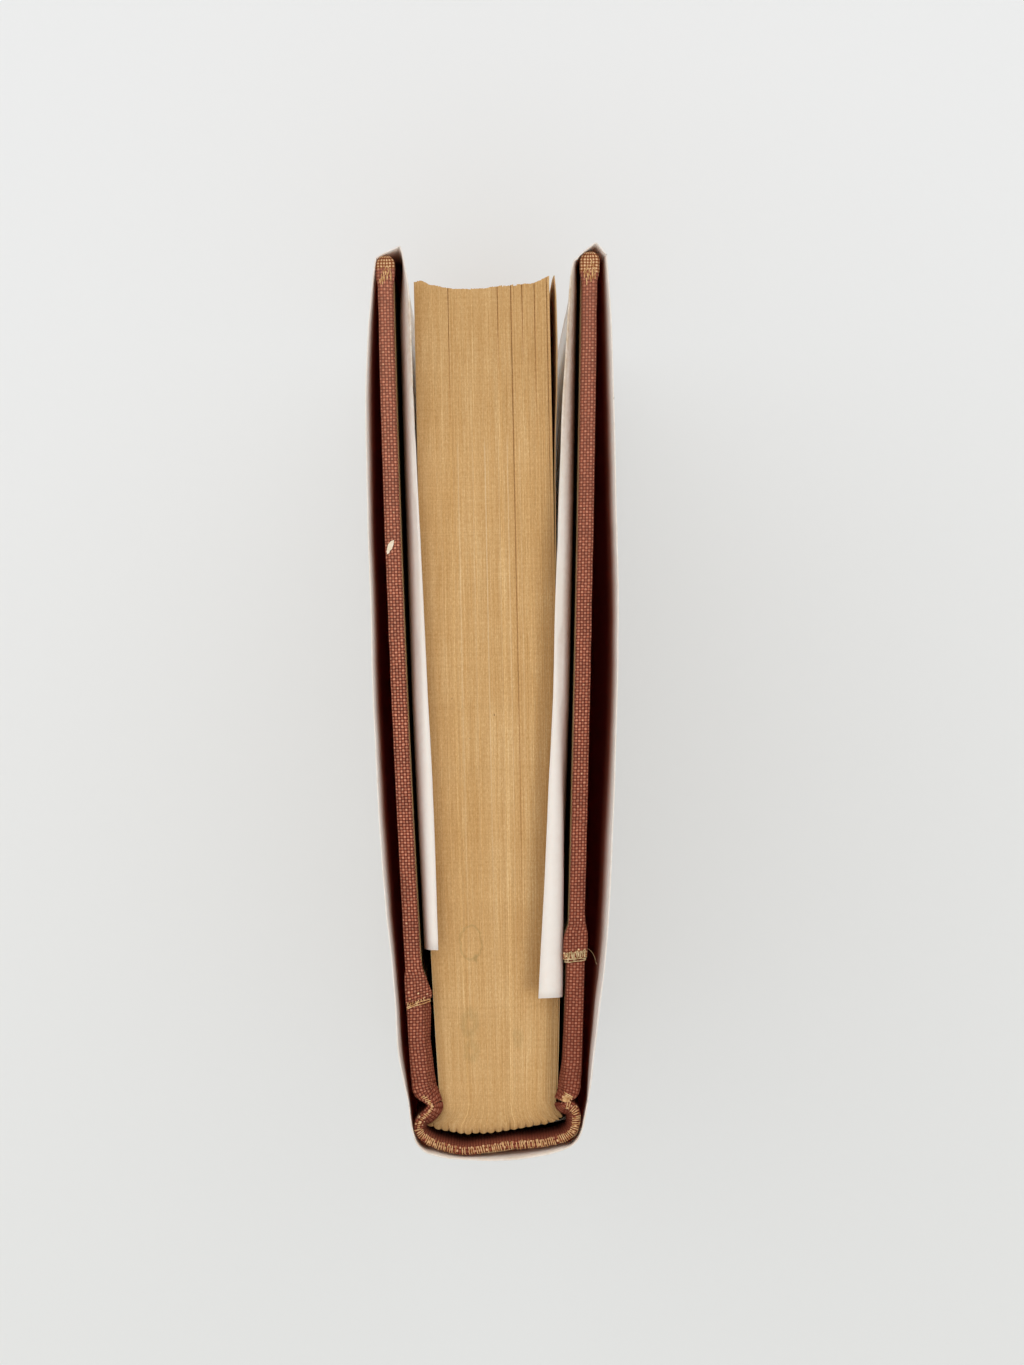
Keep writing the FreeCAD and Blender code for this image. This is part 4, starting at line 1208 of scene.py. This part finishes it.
for coverName, cover in covers.items():
    piece = makeJacket("jacket" + coverName.capitalize(), coverName)
    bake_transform(piece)

jacketBack = {
    "line": [(-14.4, -64.78), (-14.3, -66.6), (-14.05, -68.5), (-13.45, -70.5), (-12.4, -71.9),
             (-11.0, -72.65), (-7.9, -73.4), (-4.0, -73.7), (0.0, -73.85), (4.0, -73.6), (8.0, -72.95),
             (11.2, -72.0), (12.6, -70.9), (13.45, -69.3), (13.95, -67.2), (14.4, -64.78)],
    "lean": 0.95, "clear": 0.32,           # how much nearer to the cloth it lies below the head
    "steps": 140, "rows": 40,
}


def makeJacketBack():
    line, steps = jacketBack["line"], jacketBack["steps"]
    clothBack = [(x, y - spine["half"]) for x, y in spine["line"] if y < -70]

    def rise(z):
        return fading(book["jacketHead"] - z, jacket["backShare"], jacket["backNear"], jacket["backFar"])

    places = [alongPoints(line, i / steps) for i in range(steps + 1)]
    run = profileLength(places)

    def place(s, t):
        i = round(s * steps)
        x, y = places[i]
        nx, ny = normalAt(line, i / steps)
        z = book["jacketHead"] * (1 - (1 - t) ** 1.5)
        fade = clamp(min(i, steps - i) / 12)
        push = (0.10 * noise.noise(Vector((run[i] * 0.12, z * 0.02, 3))) - 0.06) * fade
        room = clamp(between(clothBack, x) - y - jacketBack["clear"], 0.0, jacketBack["lean"])
        push -= room * clamp((12.8 - abs(x)) / 2.5) * (1 - rise(z))
        nick = 0.0
        if t > 0.999:
            nick = -abs(0.14 * noise.noise(Vector((run[i] * 0.4, 8.0, 2)))) * fade
        edge = clamp(1 - (book["jacketHead"] - z) / 3) + clamp(1 - z / 3)
        wear = 0.25 + 0.6 * edge + 0.35 * clamp(1 - min(abs(run[i] - 6), abs(run[i] - run[-1] + 6)) / 1.5)
        return x - nx * push, y - ny * push, z + nick, run[i], z, wear

    return gridPiece("jacketSpine", steps, jacketBack["rows"], place, jacketLook, "book_block",
                     ("jacket_spine",), thickness=jacket["thickness"],
                     facing=((0, -74, 100), (0, -1, 0)), reverse=jacketReverseLook)


makeJacketBack()
print("jacket made")


# endpapers across the joints, and the pieces kept from the frame

hinge = {"low": 3.2, "high": 206.0, "thickness": 0.14, "steps": 16}


def makeEndpaperJoint(name, coverName):
    cover = covers[coverName]
    side = cover["side"]
    # from the flyleaf down to the fold and back up on to the pastedown
    inner = 9.45
    outer = 10.33 if coverName == "front" else 10.9
    line = [(inner, -62.9), (inner + 0.02, -63.9), (inner + 0.12, -64.45), (inner + 0.4, -64.72),
            (outer - 0.25, -64.7), (outer, -64.4), (outer + 0.02, -63.8)]
    steps = hinge["steps"]

    def place(s, t):
        x, y = alongPoints(line, s)
        return side * x, y, mix(hinge["low"], hinge["high"], t), s * 3, t * 203, 0.0

    piece = gridPiece(name, steps, 8, place, endpaperLook, None, (),
                      thickness=hinge["thickness"])
    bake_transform(piece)


for coverName in covers:
    makeEndpaperJoint("endpaperJoint" + coverName.capitalize(), coverName)

flyleaf = {
    "thickness": 0.14, "steps": 80, "rows": 44,
    # at the head edge and well below it: y, mm outside the pages
    "head": [(-62.9, 0.15), (20.0, 0.15), (36.0, 0.3), (43.0, 0.5), (50.0, 0.9), (58.0, 1.1),
             (66.0, 1.05), (68.9, 0.8)],
    "low": [(-62.9, 0.15), (36.0, 0.15), (50.0, 0.3), (60.0, 0.4), (68.9, 0.5)],
}


def makeFlyleaf():
    steps, rows = flyleaf["steps"], flyleaf["rows"]
    low, high = book["pagesTail"], book["pagesHead"]

    def place(s, t):
        y = mix(-62.9, 68.7, s)
        z = mix(low, high, 1 - (1 - t) ** 1.6)
        down = high - z
        lean = 0.6 * math.exp(-down / 4) + 0.4 * math.exp(-down / 30)
        out = mix(between(flyleaf["low"], y), between(flyleaf["head"], y), lean)
        return pagesHalf(y) + out, y + 0.2 * s * lean, z, y, z, 0.0

    gridPiece("flyleafFront", steps, rows, place, endpaperLook, "book_block",
              ("front_flyleaf",), thickness=flyleaf["thickness"])


makeFlyleaf()

keptNodes = {
    "back_flyleaf": endpaperLook,
    "front_pastedown": endpaperLook, "back_pastedown": endpaperLook,
    "front_board": greyBoardLook, "back_board": greyBoardLook,
    "spine_inlay": cardLook,
    "spine_gauze": gauzeLook, "front_gauze": gauzeLook, "back_gauze": gauzeLook,
}
for nodeName, look in keptNodes.items():
    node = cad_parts[nodeName]
    node.data.materials.clear()
    node.data.materials.append(look)
print("endpapers and kept pieces dressed")


# frayed threads

frays = {"thread": 0.11, "lift": 0.12}


def overFold(x, y, nx, ny, along, reach, top, rng):
    # a bare thread that goes over the folded edge, from one side to the other
    start, end = reach
    points = []
    for k in range(5):
        share = k / 4
        offset = mix(start, end, share)
        arch = math.sqrt(max(1 - (offset / 0.85) ** 2, 0.0)) * 0.72 - 0.72
        drift = 0.12 * (share - 0.5)
        points.append((x + nx * offset + along[0] * drift, y + ny * offset + along[1] * drift,
                       top + arch + frays["lift"] * 0.5 + rng.uniform(-0.03, 0.03)))
    return points


def makeCapThreads():
    rng = random.Random(21)
    line = spine["line"]
    run = profileLength([alongPoints(line, i / 400) for i in range(401)])
    strands = []
    length = 0.3
    while length < run[-1] - 0.3:
        i = min(range(401), key=lambda k: abs(run[k] - length))
        x, y = alongPoints(line, i / 400)
        nx, ny = normalAt(line, i / 400)
        along = (ny, -nx)
        cornerLeft = length < 4.5
        if not cornerLeft and rng.random() < 0.93:
            start, end = rng.uniform(0.45, 0.72), rng.uniform(-0.76, -0.45)
            if rng.random() < 0.15:
                start, end = rng.choice([(0.7, 0.0), (0.1, -0.7)])
            strands.append(overFold(x, y, nx, ny, along, (start, end), book["capHead"], rng))
        elif cornerLeft:
            strands.append(overFold(x, y, nx, ny, along, (0.22, -0.2), book["capHead"], rng))
        length += rng.uniform(0.31, 0.38)
    return strandPiece("capThreads", strands, frays["thread"] * 0.7, bareThreadLook, "book_block")


makeCapThreads()


def makeLapThreads(coverName, count, look, seed, long, start):
    cover = covers[coverName]
    side = cover["side"]
    rng = random.Random(seed)
    strands = []
    slant = laps[coverName]["slant"]
    near, far = (-2.5, 1.35) if coverName == "back" else (-1.9, 1.6)
    for k in range(count):
        offset = mix(near, far, (k + 0.5) / count) + rng.uniform(-0.05, 0.05)
        y = cover["lapY"] + slant * offset / 1.5 + rng.uniform(-0.05, 0.2)
        x = boardMiddle(cover, y) + offset
        z = book["boardHead"] + 0.05 - 0.25 * max(abs(offset) - 1.2, 0)
        reach = rng.uniform(0.4, 1.0) * long
        lean = rng.uniform(-0.3, 0.3)
        y += start
        strands.append([(side * x, y, z + 0.04), (side * (x + lean * 0.4), y - reach * 0.6, z + 0.05),
                        (side * (x + lean), y - reach, z - 0.08)])
    # a few threads that still run along the torn edge
    for k in range(2):
        y = cover["lapY"] - 0.15 - 0.3 * k
        strands.append([(side * (boardMiddle(cover, y) + mix(near, far, share)),
                         y + slant * mix(near, far, share) / 1.5 + rng.uniform(-0.1, 0.1),
                         book["boardHead"] + rng.uniform(0, 0.08))
                        for share in (0.0, 0.25, 0.5, 0.75, 1.0)])
    name = "lapThreads" + coverName.capitalize()
    return strandPiece(name, strands, frays["thread"] * 0.7, look, cover["body"])


makeLapThreads("front", 14, dullThreadLook, 3, 1.5, 1.05)
makeLapThreads("back", 9, bareThreadLook, 5, 0.6, 0.3)


def makeTipThreads(coverName, seed):
    cover = covers[coverName]
    side = cover["side"]
    rng = random.Random(seed)
    strands = []
    for k in range(16):
        offset = mix(-0.95, 0.95, (k % 8 + 0.5) / 8) + rng.uniform(-0.06, 0.06)
        y = 71.0 - 2.6 * rng.random() - 0.3 * (k // 8)
        x = boardMiddle(cover, y) + offset
        long = rng.uniform(0.5, 1.3)
        lean = rng.uniform(-0.12, 0.12)
        z = book["boardHead"] + 0.03
        strands.append([(side * x, y, z), (side * (x + lean), y - long / 2, z + 0.07),
                        (side * (x + lean), y - long, z - 0.02)])
    name = "tipThreads" + coverName.capitalize()
    return strandPiece(name, strands, frays["thread"] * 0.7, bareThreadLook, cover["body"])


makeTipThreads("front", 11)
makeTipThreads("back", 12)


def makeJointThreads(coverName, seed):
    # the dye is worn off the fold where it drops from the board into the groove
    cover, shape = covers[coverName], wings[coverName]
    side = cover["side"]
    rng = random.Random(seed)
    joint = [(x, y, h) for (x, y), h in zip(shape["middle"], shape["halves"])]
    strands = []
    count = 8 if coverName == "front" else 7
    for k in range(count):
        share = 0.04 + 0.62 * k / count
        x, y, half = alongPoints(joint, share)
        ahead = alongPoints(joint, min(share + 0.02, 1))
        nx, ny = sideways((x, y), ahead)
        start, end = (half * 0.7, -half * 0.8) if coverName == "front" else (0.05, -half * 0.7)
        start += rng.uniform(-0.15, 0.15)
        points = []
        for q in range(4):
            offset = mix(start, end, q / 3)
            sink = 0.5 * clamp(abs(offset) / half) ** 3
            points.append((side * (x + nx * offset), y + ny * offset + 0.1 * q,
                           book["capHead"] + 0.06 - sink))
        strands.append(points)
    name = "jointThreads" + coverName.capitalize()
    piece = strandPiece(name, strands, frays["thread"] * 0.75, bareThreadLook, None)
    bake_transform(piece)


makeJointThreads("front", 31)
makeJointThreads("back", 32)

looseHair = [(14.9, -40.1, 209.2), (15.3, -40.35, 209.4), (15.75, -40.9, 209.5), (16.05, -41.7, 209.3),
             (16.3, -42.7, 208.7)]
strandPiece("looseHair", [looseHair], 0.022, dullThreadLook, "front_cover")


chip = {"x": -15.62, "y": 25.3, "lift": 0.1, "thickness": 0.12}


def makeChip():
    # a torn chip of pale paper stuck to the head of the back board's cloth
    bm = bmesh.new()
    bmesh.ops.create_circle(bm, cap_ends=True, segments=10, radius=1.0)
    rim = [(-0.55, -1.15), (-0.2, -0.95), (-0.1, -0.6), (0.25, -0.3), (0.5, 0.4), (0.62, 1.15),
           (0.1, 0.95), (-0.35, 0.45), (-0.5, -0.1), (-0.62, -0.7)]
    for vert, (x, y) in zip(bm.verts, rim):
        vert.co = Vector((chip["x"] + x, chip["y"] + y, book["boardHead"] + chip["lift"])) * 0.001
    made = bmesh.ops.extrude_face_region(bm, geom=list(bm.faces))["geom"]
    for g in made:
        if isinstance(g, bmesh.types.BMVert):
            g.co.z += chip["thickness"] * 0.001
    bmesh.ops.recalc_face_normals(bm, faces=bm.faces)
    return finishPiece("paperChip", bm, chipLook, "back_cover", ())


makeChip()
print("threads and chip made")
